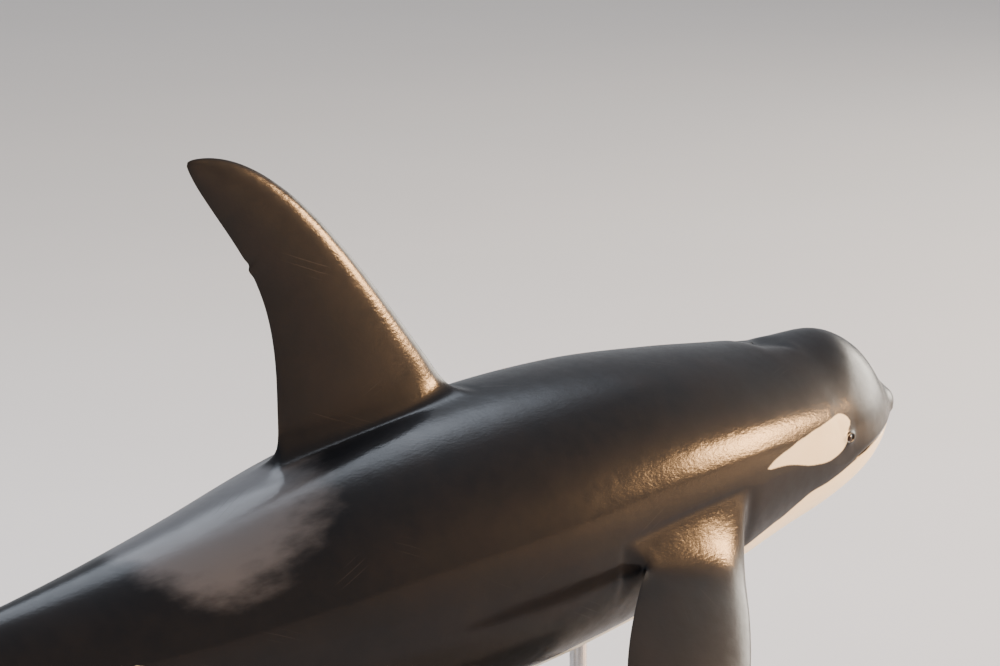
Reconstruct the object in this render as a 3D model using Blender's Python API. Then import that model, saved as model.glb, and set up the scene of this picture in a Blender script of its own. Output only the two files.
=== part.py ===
# Life-size orca as a museum shows it, surfacing with its head raised, on a flat base with two rods.
#
# Units are metres and +Z is up. The orca faces +X and its left side is +Y.
# The origin is the centre of the base's underside.
# A place on the body follows its spine axis: behind is metres back from the snout tip,
# side is metres to the orca's left, and height is metres above the axis.

import math
from collections import namedtuple

import bmesh
import bpy
from mathutils import Vector

# Driving dimensions
BODY_LENGTH = 6.5
PERCENT = BODY_LENGTH / 100
GAP = 0.0003
WELD = 0.00005

# Pose: the head and trunk point up, and the tail bends level along an arc
HEAD_PITCH = math.radians(9.5)
TAIL_PITCH = math.radians(-2.0)
ARCH_START = 56 * PERCENT
ARCH_END = 100 * PERCENT
SNOUT_TIP = Vector((2.86, 0.0, 1.78))

# Body outline in percent of the body length. top and belly are heights above and below the axis,
# widest is the height of the widest place, and crown and keel say how full the section is
# above and below it, where 2 is an ellipse.
Station = namedtuple("Station", "behind top belly half_width widest crown keel")
STATIONS = (
    Station(0.0, -1.7, -1.7, 0.0, -1.7, 2.0, 2.0),
    Station(0.7, -0.7, -2.8, 1.1, -1.8, 1.85, 2.0),
    Station(1.7, 0.55, -3.5, 1.75, -1.85, 1.75, 2.1),
    Station(3.3, 2.95, -4.55, 3.05, -1.8, 1.85, 2.2),
    Station(6.0, 4.75, -5.75, 4.5, -1.7, 1.95, 2.2),
    Station(9.5, 5.2, -6.7, 5.5, -1.3, 2.05, 2.2),
    Station(14.0, 6.0, -7.5, 6.5, -0.8, 2.1, 2.1),
    Station(20.0, 7.3, -8.6, 7.6, -0.4, 2.1, 2.1),
    Station(28.0, 8.7, -9.5, 8.5, -0.2, 2.1, 2.1),
    Station(38.0, 9.4, -10.1, 9.0, -0.1, 2.0, 2.1),
    Station(50.0, 9.0, -9.6, 8.3, 0.0, 2.0, 2.0),
    Station(62.0, 7.3, -7.6, 6.3, 0.0, 1.9, 1.9),
    Station(75.0, 5.2, -5.3, 3.8, 0.0, 1.8, 1.8),
    Station(87.0, 3.2, -3.2, 1.9, 0.0, 1.7, 1.7),
    Station(93.0, 1.9, -1.9, 1.4, 0.0, 1.8, 1.8),
    Station(96.5, 1.0, -1.0, 1.35, 0.0, 1.9, 1.9),
    Station(99.0, 0.4, -0.4, 1.35, 0.0, 2.0, 2.0),
)

# Where the body is parted, behind the snout tip
HEAD_END = 13.5 * PERCENT
CHEST_END = 35 * PERCENT
MIDBODY_END = 58 * PERCENT
TAIL_FRONT_END = 79 * PERCENT
TAIL_STOCK_END = 98.6 * PERCENT

# Mouth and lips: the snout's tip lies above the mouth line, so that the upper lip is blunt
TIP_HEIGHT = -1.75 * PERCENT
MOUTH_HEIGHT = -2.35 * PERCENT
MOUTH_DROP = 0.85 * PERCENT
MOUTH_CORNER = 8.0 * PERCENT
LIP_ROUND = 0.009
JAW_SETBACK = 0.012
LOWEST_EDGE = 0.97

# Blowhole: a shallow bowl behind the melon with a crescent slit in it
BLOWHOLE_BEHIND = 11.2 * PERCENT
BOWL_DEPTH = 0.034
BOWL_LENGTH = 0.085
BOWL_WIDTH = 0.095
SLIT_RADIUS = 0.05
SLIT_THICKNESS = 0.011
SLIT_TURN = math.radians(160)

# Eyes and lids
EYE_BEHIND = 8.85 * PERCENT
EYE_HEIGHT = -1.5 * PERCENT
EYE_RADIUS = 0.030
EYE_SINK = 0.021
LID_HALF_LENGTH = 0.036
LID_HALF_HEIGHT = 0.025
LID_ROUND = 0.009

# Mesh fineness
BODY_AROUND = 40
HEAD_AROUND = 38
JAW_AROUND = 24
BLADE_AROUND = 22

Colour = namedtuple("Colour", "red green blue")
BLACK_SKIN = Colour(0.012, 0.011, 0.012)
WHITE_SKIN = Colour(0.80, 0.77, 0.70)
EYE_BROWN = Colour(0.02, 0.012, 0.008)
BASE_GREY = Colour(0.16, 0.16, 0.165)
STEEL = Colour(0.55, 0.55, 0.56)


# Scene and material helpers


def clear_scene():
    for item in list(bpy.data.objects):
        bpy.data.objects.remove(item, do_unlink=True)


def finish_of(name, colour, roughness, metallic=0.0):
    material = bpy.data.materials.new(name)
    material.use_nodes = True
    shader = material.node_tree.nodes["Principled BSDF"]
    shader.inputs["Base Color"].default_value = (*colour, 1.0)
    shader.inputs["Roughness"].default_value = roughness
    shader.inputs["Metallic"].default_value = metallic
    return material


def object_from(bm, name, material):
    """A scene object with the mesh's faces pointing out."""
    bmesh.ops.recalc_face_normals(bm, faces=bm.faces)
    if bm.calc_volume(signed=True) < 0:
        bmesh.ops.reverse_faces(bm, faces=bm.faces)
    mesh = bpy.data.meshes.new(name)
    bm.to_mesh(mesh)
    bm.free()
    mesh.shade_smooth()
    mesh.set_sharp_from_angle(angle=math.radians(40))
    made = bpy.data.objects.new(name, mesh)
    made.data.materials.append(material)
    bpy.context.scene.collection.objects.link(made)
    return made


def loft(name, rings, material):
    """One closed body whose skin runs through rings of equally many points, flat at both ends."""
    around = len(rings[0])
    bm = bmesh.new()
    bmesh.ops.create_grid(bm, x_segments=around, y_segments=len(rings) - 1, size=1)
    bm.verts.ensure_lookup_table()
    for row, ring in enumerate(rings):
        for column in range(around + 1):
            bm.verts[row * (around + 1) + column].co = ring[column % around]
    bmesh.ops.remove_doubles(bm, verts=bm.verts, dist=WELD)
    open_edges = [edge for edge in bm.edges if edge.is_boundary]
    bmesh.ops.holes_fill(bm, edges=open_edges, sides=0)
    bmesh.ops.triangulate(bm, faces=bm.faces, quad_method="SHORT_EDGE")
    return object_from(bm, name, material)


def helper(made):
    """Marks an object as a cutter, which isn't a piece of the model."""
    made.hide_render = True
    made.display_type = "WIRE"
    return made


def combine(target, other, operation, solver="EXACT"):
    """Joins or cuts target by other, applies it and removes other."""
    modifier = target.modifiers.new(operation.lower(), "BOOLEAN")
    modifier.operation = operation
    modifier.solver = solver
    modifier.object = helper(other)
    graph = bpy.context.evaluated_depsgraph_get()
    result = bpy.data.meshes.new_from_object(target.evaluated_get(graph))
    target.modifiers.clear()
    target.data = result
    bpy.data.objects.remove(other, do_unlink=True)


def islands_of(bm):
    """The separate surfaces of a mesh, each as a list of faces."""
    found = []
    seen = set()
    for start in bm.faces:
        if start in seen:
            continue
        island = []
        waiting = [start]
        seen.add(start)
        while waiting:
            face = waiting.pop()
            island.append(face)
            for edge in face.edges:
                for near in edge.link_faces:
                    if near not in seen:
                        seen.add(near)
                        waiting.append(near)
        found.append(island)
    return found


def keep_largest(target):
    """Drops every closed surface of the mesh but its largest, and any doubled points."""
    bm = bmesh.new()
    bm.from_mesh(target.data)
    bmesh.ops.remove_doubles(bm, verts=bm.verts, dist=WELD)
    islands = islands_of(bm)
    largest = max(islands, key=lambda island: sum(face.calc_area() for face in island))
    extra = [face for island in islands if island is not largest for face in island]
    bmesh.ops.delete(bm, geom=extra, context="FACES")
    bm.to_mesh(target.data)
    bm.free()


# Spine axis


def pitch_at(behind):
    share = min(max((behind - ARCH_START) / (ARCH_END - ARCH_START), 0.0), 1.0)
    return HEAD_PITCH + (TAIL_PITCH - HEAD_PITCH) * share


def axis_point(behind):
    """A point of the spine axis: straight from the snout, then a circular arc, then straight."""
    straight = min(behind, ARCH_START)
    back = straight * math.cos(HEAD_PITCH)
    down = straight * math.sin(HEAD_PITCH)
    if behind > ARCH_START:
        radius = (ARCH_END - ARCH_START) / (HEAD_PITCH - TAIL_PITCH)
        pitch = pitch_at(behind)
        back += radius * (math.sin(HEAD_PITCH) - math.sin(pitch))
        down += radius * (math.cos(pitch) - math.cos(HEAD_PITCH))
        beyond = max(behind - ARCH_END, 0.0)
        back += beyond * math.cos(TAIL_PITCH)
        down += beyond * math.sin(TAIL_PITCH)
    return SNOUT_TIP + Vector((-back, 0.0, -down))


def placed(behind, side, height):
    """The point in the model's frame of a place given along the spine axis."""
    pitch = pitch_at(behind)
    level = height - TIP_HEIGHT
    return axis_point(behind) + Vector((-level * math.sin(pitch), side, level * math.cos(pitch)))


# Body surface


def smooth_value(channel, behind):
    """One channel of the stations at a place, in metres, on a smooth curve through them.
    The curve runs over the root of the distance, so that the snout is round."""
    where = math.sqrt(max(behind, 0.0) / PERCENT)
    knots = [math.sqrt(station.behind) for station in STATIONS]
    values = [getattr(station, channel) for station in STATIONS]
    last = len(knots) - 1
    index = max(i for i in range(last) if knots[i] <= where or i == 0)
    width = knots[index + 1] - knots[index]
    slopes = []
    for i in (index, index + 1):
        before, after = max(i - 1, 0), min(i + 1, last)
        slopes.append((values[after] - values[before]) / (knots[after] - knots[before]))
    t = min((where - knots[index]) / width, 1.0)
    return (
        values[index] * (2 * t**3 - 3 * t**2 + 1)
        + values[index + 1] * (3 * t**2 - 2 * t**3)
        + width * slopes[0] * (t**3 - 2 * t**2 + t)
        + width * slopes[1] * (t**3 - t**2)
    )


def profile_at(behind):
    """The section's measures: lengths in metres, crown and keel as they are."""
    sizes = {name: smooth_value(name, behind) for name in Station._fields[1:]}
    for name in ("top", "belly", "half_width", "widest"):
        sizes[name] *= PERCENT
    return sizes


def signed_power(value, power):
    return math.copysign(abs(value) ** power, value)


def blowhole_bowl(behind, side):
    """How far the skin dips round the blowhole."""
    along = (behind - BLOWHOLE_BEHIND) / BOWL_LENGTH
    across = side / BOWL_WIDTH
    return BOWL_DEPTH * math.exp(-(along**2) - across**2)


def section_point(behind, angle, grow=0.0):
    """(side, height) on the body's skin. The angle is 0 on top, and a right angle on the left side.
    grow moves the skin out."""
    sizes = profile_at(behind)
    above = math.cos(angle) >= 0
    power = 2 / (sizes["crown"] if above else sizes["keel"])
    reach = sizes["top"] - sizes["widest"] if above else sizes["widest"] - sizes["belly"]
    side = (sizes["half_width"] + grow) * signed_power(math.sin(angle), power)
    height = sizes["widest"] + (reach + grow) * signed_power(math.cos(angle), power)
    if above:
        height -= blowhole_bowl(behind, side)
    return side, height


def skin_point(behind, angle, grow=0.0):
    return placed(behind, *section_point(behind, angle, grow))


def skin_normal(behind, angle):
    """The outward normal of the body's skin."""
    step = 0.002
    along = skin_point(behind + step, angle) - skin_point(behind - step, angle)
    round_body = skin_point(behind, angle + step) - skin_point(behind, angle - step)
    return along.cross(round_body).normalized()


def angle_at_height(behind, height):
    """The angle on the left side at which the skin has that height."""
    sizes = profile_at(behind)
    above = height >= sizes["widest"]
    reach = sizes["top"] - sizes["widest"] if above else sizes["widest"] - sizes["belly"]
    fullness = sizes["crown"] if above else sizes["keel"]
    share = min(abs(height - sizes["widest"]) / max(reach, WELD), 1.0) ** (fullness / 2)
    return math.acos(share if above else -share)


def spaced(start, end, count):
    """count + 1 places from start to end, closer together towards the snout."""
    low, high = math.sqrt(start), math.sqrt(end)
    return [(low + (high - low) * i / count) ** 2 for i in range(count + 1)]


def body_rings(start, end, count, grow=0.0):
    turns = [2 * math.pi * i / BODY_AROUND for i in range(BODY_AROUND)]
    return [
        [skin_point(behind, turn, grow) for turn in turns] for behind in spaced(start, end, count)
    ]


# Head and lower jaw


def mouth_height(behind):
    """Height of the mouth line, which sinks gently from the front to its corner."""
    return MOUTH_HEIGHT - MOUTH_DROP * (behind / MOUTH_CORNER) ** 1.5


def lip_inset(behind, from_edge):
    """How far the lip rounds in, from_edge being 0 at the mouth line and 1 where the round ends."""
    fade = min(max((MOUTH_CORNER + 0.03 - behind) / 0.03, 0.0), 1.0)
    small = min(1.0, behind / 0.08)
    return LIP_ROUND * fade * small * (1 - math.sqrt(max(1 - (1 - from_edge) ** 2, 0.0)))


def lip_shares(behind, arc):
    """Shares of the way from the mouth line to the far side of the section, with 3 on the lip."""
    lip = min(LIP_ROUND / max(behind, LIP_ROUND) * 0.5, 0.12)
    fine = [lip * i / 3 for i in range(3)]
    return fine + [lip + (1 - lip) * i / (arc - 3) for i in range(arc - 2)], lip


def mouth_ring(behind, setback, upper, arc):
    """The ring of the upper head or of the lower jaw, closed by a flat face inside the mouth.
    In front of the mouth the upper ring is nearly the whole section."""
    sizes = profile_at(behind)
    mouth = mouth_height(behind + setback) + (GAP / 2 if upper else -GAP / 2)
    if upper:
        depth = sizes["widest"] - sizes["belly"]
        mouth = max(mouth, sizes["widest"] - LOWEST_EDGE * depth)
    elif mouth <= sizes["belly"] + WELD:
        return [placed(behind + setback, 0.0, sizes["belly"])] * (2 * arc - 1)
    edge = angle_at_height(behind, mouth)
    far = 0.0 if upper else math.pi
    shares, lip = lip_shares(behind, arc)
    half = []
    for share in shares:
        side, height = section_point(behind, edge + (far - edge) * share)
        if share < lip:
            side = max(side - lip_inset(behind, share / lip), 0.0)
        if share == 0:
            height = mouth
        half.append((side, height))
    half[-1] = (0.0, half[-1][1])
    other = [(-side, height) for side, height in reversed(half[:-1])]
    return [placed(behind + setback, side, height) for side, height in half + other]


def make_head(skin):
    places = spaced(0.0, HEAD_END - GAP / 2, 26)
    rings = [mouth_ring(behind, 0.0, True, HEAD_AROUND // 2) for behind in places]
    head = loft("head", rings, skin)
    for side in (1, -1):
        combine(head, lid_ring(side, skin), "UNION")
        socket = eyeball("socket", side, EYE_RADIUS + GAP, skin)
        combine(head, socket, "DIFFERENCE", solver="MANIFOLD")
    combine(head, blowhole_slit(skin), "DIFFERENCE")
    keep_largest(head)
    return head


def jaw_start():
    """Where the section first reaches below the mouth line."""
    near, far = 0.0, MOUTH_CORNER
    for _ in range(40):
        middle = (near + far) / 2
        if profile_at(middle)["belly"] < mouth_height(middle + JAW_SETBACK):
            far = middle
        else:
            near = middle
    return near


def make_lower_jaw(skin):
    end = HEAD_END - GAP / 2
    rings = []
    for behind in spaced(jaw_start(), end, 22):
        setback = JAW_SETBACK * (1 - behind / end)
        rings.append(mouth_ring(behind, setback, False, JAW_AROUND // 2))
    return loft("lower_jaw", rings, skin)


def blowhole_slit(skin):
    """A crescent with its horns forward, which cuts the slit of the blowhole."""
    centre_behind = BLOWHOLE_BEHIND - SLIT_RADIUS / 2
    rings = []
    count = 14
    for i in range(count + 1):
        turn = SLIT_TURN * (i / count - 0.5)
        thick = SLIT_THICKNESS * max(math.cos(math.pi * (i / count - 0.5)), 0.15)
        ring = []
        for k in range(8):
            roll = 2 * math.pi * k / 8
            reach = SLIT_RADIUS + thick * math.cos(roll)
            behind = centre_behind + reach * math.cos(turn)
            side = reach * math.sin(turn)
            _, floor = section_point(behind, 0.0)
            ring.append(placed(behind, side, floor + thick * 1.6 * math.sin(roll)))
        rings.append(ring)
    return loft("blowhole_slit", rings, skin)


# Eyes


def eye_frame(side):
    """Centre, outward direction and direction along the head of the eye on that side."""
    angle = angle_at_height(EYE_BEHIND, EYE_HEIGHT) * side
    outward = skin_normal(EYE_BEHIND, angle)
    if outward.y * side < 0:
        outward = -outward
    forward = (placed(EYE_BEHIND - 0.1, 0, 0) - placed(EYE_BEHIND, 0, 0)).normalized()
    forward = (forward - outward * forward.dot(outward)).normalized()
    surface = skin_point(EYE_BEHIND, angle)
    return surface, outward, forward


def eyeball(name, side, radius, material):
    surface, outward, _ = eye_frame(side)
    bm = bmesh.new()
    bmesh.ops.create_uvsphere(bm, u_segments=16, v_segments=10, radius=radius)
    bmesh.ops.translate(bm, verts=bm.verts, vec=surface - outward * EYE_SINK)
    return object_from(bm, name, material)


def lid_ring(side, skin):
    """The rim of both eyelids, an almond-shaped ring half sunk in the cheek."""
    surface, outward, forward = eye_frame(side)
    upward = outward.cross(forward)
    if upward.z < 0:
        upward = -upward
    count = 20
    tube = 8
    bm = bmesh.new()
    bmesh.ops.create_grid(bm, x_segments=tube, y_segments=count, size=1)
    bm.verts.ensure_lookup_table()
    for row in range(count + 1):
        turn = 2 * math.pi * row / count
        centre = Vector((LID_HALF_LENGTH * math.cos(turn), LID_HALF_HEIGHT * math.sin(turn)))
        away = centre.normalized()
        for column in range(tube + 1):
            roll = 2 * math.pi * column / tube
            reach = centre + away * LID_ROUND * math.cos(roll)
            lift = LID_ROUND * 0.8 * math.sin(roll)
            bm.verts[row * (tube + 1) + column].co = (
                surface + forward * reach.x + upward * reach.y + outward * lift
            )
    bmesh.ops.remove_doubles(bm, verts=bm.verts, dist=WELD)
    return object_from(bm, "lid_ring", skin)


# Fins


TIP_ROUNDNESS = 16


def curve(start, first_handle, second_handle, end):
    """The cubic curve with these control points, as a function of a share from 0 to 1."""
    a, b, c, d = (Vector(point) for point in (start, first_handle, second_handle, end))

    def point_at(t):
        return a * (1 - t) ** 3 + b * 3 * t * (1 - t) ** 2 + c * 3 * t * t * (1 - t) + d * t**3

    return point_at


def foil(turn):
    """Half thickness of a fin's section, at most 1, and signed by its side.
    It is round in front and thins to a narrow rounded edge behind."""
    edge_share = 0.12
    across = (1 - math.cos(turn)) / 2
    wing = math.sqrt(across) * (1 - across) / 0.385
    rim = abs(math.sin(turn))
    return math.copysign((1 - edge_share) * wing + edge_share * rim, math.sin(turn))


def to_the_tip(count):
    """count + 1 shares of the way from a fin's root to its tip, closer together at the tip."""
    return [math.sin(math.pi / 2 * i / count) for i in range(count + 1)]


def blade_rings(place, front_edge, back_edge, half_thickness, shares):
    """Rings of a fin at these shares of the way from its root to its rounded tip. The edges are
    functions of the share in the fin's own plane, and place turns (x, y, thickness) there into a
    point of the model."""
    rings = []
    for t in shares:
        middle = (front_edge(t) + back_edge(t)) / 2
        narrowed = math.sqrt(max(1 - t**TIP_ROUNDNESS, 0.0))
        front = middle.lerp(front_edge(t), narrowed)
        back = middle.lerp(back_edge(t), narrowed)
        ring = []
        for k in range(BLADE_AROUND):
            turn = 2 * math.pi * k / BLADE_AROUND
            spot = front.lerp(back, (1 - math.cos(turn)) / 2)
            ring.append(place(spot.x, spot.y, foil(turn) * half_thickness(t)))
        rings.append(ring)
    return rings


def tapering(root, tip, flare, flare_end):
    """Half thickness along a fin: it thins to the tip, and flares where it meets the body."""

    def half_thickness(t):
        taper = root + (tip - root) * t
        spread = flare * max(0.0, 1 - t / flare_end) ** 2
        return (taper + spread) * math.sqrt(max(1 - t**6, 0.0))

    return half_thickness


# Dorsal fin: its edges as curves through (behind, height). It hooks back as a grown male's does.
FIN_FRONT_EDGE = curve((2.34, 0.43), (2.71, 0.91), (3.03, 1.81), (3.655, 1.968))
FIN_BACK_EDGE = curve((3.46, 0.45), (3.29, 1.19), (3.34, 1.33), (3.702, 1.872))
NICK_AT = 0.655
NICK_REACH = 0.02
NICK_DEPTH = 0.020


def nicked_edge(t):
    """The fin's back edge with an old nick in it, which has a raised lower lip."""
    away = (t - NICK_AT) / NICK_REACH
    return FIN_BACK_EDGE(t) - Vector((NICK_DEPTH * away * math.exp(-(away**2)), 0.0))


def make_dorsal_fin(skin):
    half_thickness = tapering(root=0.062, tip=0.014, flare=0.05, flare_end=0.2)

    def place(behind, height, side):
        return placed(behind, side, height)

    shares = [t for t in to_the_tip(24) if abs(t - NICK_AT) > 2.2 * NICK_REACH]
    shares += [NICK_AT + NICK_REACH * step for step in (-1.8, -0.7, 0.0, 0.7, 1.8)]
    rings = blade_rings(place, FIN_FRONT_EDGE, nicked_edge, half_thickness, sorted(shares))
    fin = loft("dorsal_fin", rings, skin)
    body = loft("body_cutter", body_rings(CHEST_END, MIDBODY_END, 26, GAP), skin)
    combine(fin, body, "DIFFERENCE")
    keep_largest(fin)
    return fin


# Flippers: broad paddles, as (along the span, forward), from a root on the lower flank
FLIPPER_BEHIND = 24.5 * PERCENT
FLIPPER_ANGLE = math.radians(118)
FLIPPER_FRONT_EDGE = curve((-0.16, 0.20), (0.40, 0.30), (1.16, 0.34), (1.27, -0.02))
FLIPPER_BACK_EDGE = curve((-0.16, -0.20), (0.30, -0.34), (1.10, -0.60), (1.27, -0.10))
FLIPPER_AIM = Vector((-0.52, 0.62, -0.58))
FLIPPER_TWIST = math.radians(18)
FLIPPER_CURL = 0.10


def flipper_frame(side):
    """Root point and the directions along the span, forward and across of one flipper."""
    root = skin_point(FLIPPER_BEHIND, FLIPPER_ANGLE * side)
    span = Vector((FLIPPER_AIM.x, FLIPPER_AIM.y * side, FLIPPER_AIM.z)).normalized()
    forward = Vector((math.cos(FLIPPER_TWIST), 0.0, -math.sin(FLIPPER_TWIST)))
    forward = (forward - span * forward.dot(span)).normalized()
    across = span.cross(forward).normalized() * side
    return root, span, forward, across


def make_flipper(side, name, skin):
    root, span, forward, across = flipper_frame(side)
    half_thickness = tapering(root=0.055, tip=0.012, flare=0.03, flare_end=0.25)

    def place(out, ahead, lift):
        curl = FLIPPER_CURL * max(out, 0.0) ** 2
        return root + span * out + forward * ahead + across * (lift + curl)

    rings = blade_rings(
        place, FLIPPER_FRONT_EDGE, FLIPPER_BACK_EDGE, half_thickness, to_the_tip(20)
    )
    flipper = loft(name, rings, skin)
    body = loft("body_cutter", body_rings(HEAD_END, CHEST_END, 22, GAP), skin)
    combine(flipper, body, "DIFFERENCE")
    keep_largest(flipper)
    return flipper


# Flukes: each half as (behind, side), with its tip curling down
FLUKE_FRONT_EDGE = curve((5.58, 0.0), (5.92, 0.27), (6.24, 0.83), (6.65, 0.95))
FLUKE_BACK_EDGE = curve((6.46, 0.0), (6.61, 0.11), (6.53, 0.60), (6.69, 0.93))
FLUKE_DROOP = 0.10


def make_fluke(side, name, skin):
    half_thickness = tapering(root=0.052, tip=0.009, flare=0.012, flare_end=0.4)

    def place(behind, out, lift):
        droop = FLUKE_DROOP * out**2
        return placed(behind, (out + GAP / 2) * side, lift - droop)

    rings = blade_rings(
        place, FLUKE_FRONT_EDGE, FLUKE_BACK_EDGE, half_thickness, to_the_tip(20)
    )
    fluke = loft(name, rings, skin)
    stock = loft("stock_cutter", body_rings(TAIL_FRONT_END, TAIL_STOCK_END + GAP, 16, GAP), skin)
    combine(fluke, stock, "DIFFERENCE")
    keep_largest(fluke)
    return fluke


# Stand: a flat base with rounded corners and two upright rods, each with a round foot plate
BASE_LENGTH = 3.2
BASE_WIDTH = 1.3
BASE_THICKNESS = 0.05
BASE_CORNER = 0.12
BASE_EDGE = 0.006
ROD_RADIUS = 0.038
ROD_AROUND = 22
FOOT_RADIUS = 0.11
FOOT_THICKNESS = 0.016
FOOT_WELD = 0.012
ROD_PLACES = (("stand_rod_front", 1.02), ("stand_rod_rear", -1.10))


def make_base(material):
    bm = bmesh.new()
    bmesh.ops.create_cube(bm, size=1)
    bmesh.ops.scale(bm, verts=bm.verts, vec=(BASE_LENGTH, BASE_WIDTH, BASE_THICKNESS))
    bmesh.ops.translate(bm, verts=bm.verts, vec=(0, 0, BASE_THICKNESS / 2))
    corners = [edge for edge in bm.edges if abs((edge.verts[0].co - edge.verts[1].co).z) > WELD]
    bmesh.ops.bevel(
        bm, geom=corners, offset=BASE_CORNER, segments=6, profile=0.5, affect="EDGES", material=-1
    )
    rim = [
        edge
        for edge in bm.edges
        if all(vert.co.z > BASE_THICKNESS - WELD for vert in edge.verts)
    ]
    bmesh.ops.bevel(
        bm, geom=rim, offset=BASE_EDGE, segments=2, profile=0.5, affect="EDGES", material=-1
    )
    return object_from(bm, "stand_base", material)


def make_rod(name, forward, material):
    """An upright rod on a foot plate, from the base up to the belly, which shapes its top."""
    low, high = BASE_THICKNESS + GAP, SNOUT_TIP.z - 0.5
    profile = (
        (FOOT_RADIUS, low),
        (FOOT_RADIUS, low + FOOT_THICKNESS),
        (ROD_RADIUS + FOOT_WELD, low + FOOT_THICKNESS),
        (ROD_RADIUS, low + FOOT_THICKNESS + FOOT_WELD),
        (ROD_RADIUS, high),
    )
    turns = [2 * math.pi * i / ROD_AROUND for i in range(ROD_AROUND)]
    rings = [
        [Vector((forward + radius * math.cos(t), radius * math.sin(t), height)) for t in turns]
        for radius, height in profile
    ]
    rod = loft(name, rings, material)
    body = loft("body_cutter", body_rings(HEAD_END, TAIL_FRONT_END, 44, GAP), material)
    combine(rod, body, "DIFFERENCE")
    keep_largest(rod)
    return rod


def make_orca():
    black = finish_of("black_skin", BLACK_SKIN, 0.3)
    white = finish_of("white_skin", WHITE_SKIN, 0.35)
    eye = finish_of("eye", EYE_BROWN, 0.08)
    grey = finish_of("base", BASE_GREY, 0.6)
    steel = finish_of("steel", STEEL, 0.3, 1.0)

    make_head(black)
    make_lower_jaw(white)
    stretches = (
        ("chest", HEAD_END, CHEST_END, 22),
        ("midbody", CHEST_END, MIDBODY_END, 26),
        ("tail_front", MIDBODY_END, TAIL_FRONT_END, 14),
        ("tail_stock", TAIL_FRONT_END, TAIL_STOCK_END, 16),
    )
    for name, start, end, count in stretches:
        loft(name, body_rings(start + GAP / 2, end - GAP / 2, count), black)
    make_dorsal_fin(black)
    for side, word in ((1, "left"), (-1, "right")):
        eyeball("eye_" + word, side, EYE_RADIUS, eye)
        make_flipper(side, "flipper_" + word, black)
        make_fluke(side, "fluke_" + word, black)
    make_base(grey)
    for name, forward in ROD_PLACES:
        make_rod(name, forward, steel)


clear_scene()
make_orca()
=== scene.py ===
# %% [markdown]
# # An orca on a display stand
#
# This lesson dresses the solid model of a grown male orca. The solids were made in
# another script and are loaded here as a fixed frame, in metres, with +Z up. The orca
# faces +X and its left side is +Y. Our work is the skin with its markings, the eyes,
# the finish of the stand, the floor, the light and the camera.

# %% Load the solids
import math

import bmesh
import bpy
import numpy as np
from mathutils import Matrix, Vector


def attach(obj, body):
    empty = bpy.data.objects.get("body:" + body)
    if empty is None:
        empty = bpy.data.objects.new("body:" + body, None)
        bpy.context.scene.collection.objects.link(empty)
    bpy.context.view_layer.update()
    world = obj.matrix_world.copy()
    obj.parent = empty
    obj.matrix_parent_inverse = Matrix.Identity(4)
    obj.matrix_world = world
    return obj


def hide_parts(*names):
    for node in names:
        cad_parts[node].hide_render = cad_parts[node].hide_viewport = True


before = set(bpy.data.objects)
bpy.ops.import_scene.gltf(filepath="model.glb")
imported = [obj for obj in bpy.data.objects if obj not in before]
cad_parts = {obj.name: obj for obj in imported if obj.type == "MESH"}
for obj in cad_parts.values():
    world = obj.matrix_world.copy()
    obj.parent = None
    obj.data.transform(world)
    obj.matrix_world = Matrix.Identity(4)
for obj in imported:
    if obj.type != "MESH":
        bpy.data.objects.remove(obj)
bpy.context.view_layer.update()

print("nodes:", ", ".join(sorted(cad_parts)))

# %% [markdown]
# ## The camera
#
# The photograph was taken from far away with a long lens, from the orca's right side
# and a little above it, looking towards its head. A long lens flattens depth, so the
# distance matters as much as the angle. We could slide the picture with the lens shift,
# but a camera that simply turns towards the middle of the picture works in every view.

# %% Camera
PHOTO_WIDTH, PHOTO_HEIGHT = 1000, 666
SENSOR_WIDTH = 36.0
CAMERA_AZIMUTH = math.radians(-40.74)
CAMERA_ELEVATION = math.radians(10.06)
CAMERA_DISTANCE = 30.0
CLIP_NEAR, CLIP_FAR = 0.5, 600.0
PIXELS_PER_METRE = 234.0
KEY_POINT = Vector((0.8, 0.0, 1.9))
KEY_PIXEL = (539.9, 420.95)


def link_object(name, data):
    thing = bpy.data.objects.new(name, data)
    bpy.context.scene.collection.objects.link(thing)
    return thing


def camera_axes(azimuth, elevation):
    """Directions to the right, up and back from the scene for a camera at these angles."""
    right = Vector((math.cos(azimuth), math.sin(azimuth), 0.0))
    flat = math.cos(elevation)
    back = Vector((math.sin(azimuth) * flat, -math.cos(azimuth) * flat, math.sin(elevation)))
    return right, back.cross(right), back


def add_camera():
    right, up, back = camera_axes(CAMERA_AZIMUTH, CAMERA_ELEVATION)
    data = bpy.data.cameras.new("photo_camera")
    data.sensor_width = SENSOR_WIDTH
    data.lens = PIXELS_PER_METRE * CAMERA_DISTANCE * SENSOR_WIDTH / PHOTO_WIDTH
    data.clip_start, data.clip_end = CLIP_NEAR, CLIP_FAR
    camera = link_object("photo_camera", data)
    camera.location = KEY_POINT + back * CAMERA_DISTANCE
    across = (PHOTO_WIDTH / 2 - KEY_PIXEL[0]) / PIXELS_PER_METRE
    rise = (KEY_PIXEL[1] - PHOTO_HEIGHT / 2) / PIXELS_PER_METRE
    middle = KEY_POINT + right * across + up * rise
    camera.rotation_euler = (middle - camera.location).to_track_quat("-Z", "Y").to_euler()
    bpy.context.scene.camera = camera
    print("lens:", round(data.lens, 1), "mm, camera height:", round(camera.location.z, 2), "m")


add_camera()

# %% [markdown]
# ## Node helpers
#
# Every finish below is a small network of shader nodes. One class keeps the cells short:
# it starts a material, adds nodes with their settings, and lets an input be a number, a
# colour or the output of another node. A number that is the same all over a surface goes
# straight onto the shader's own socket.

# %% A material and its nodes


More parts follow.
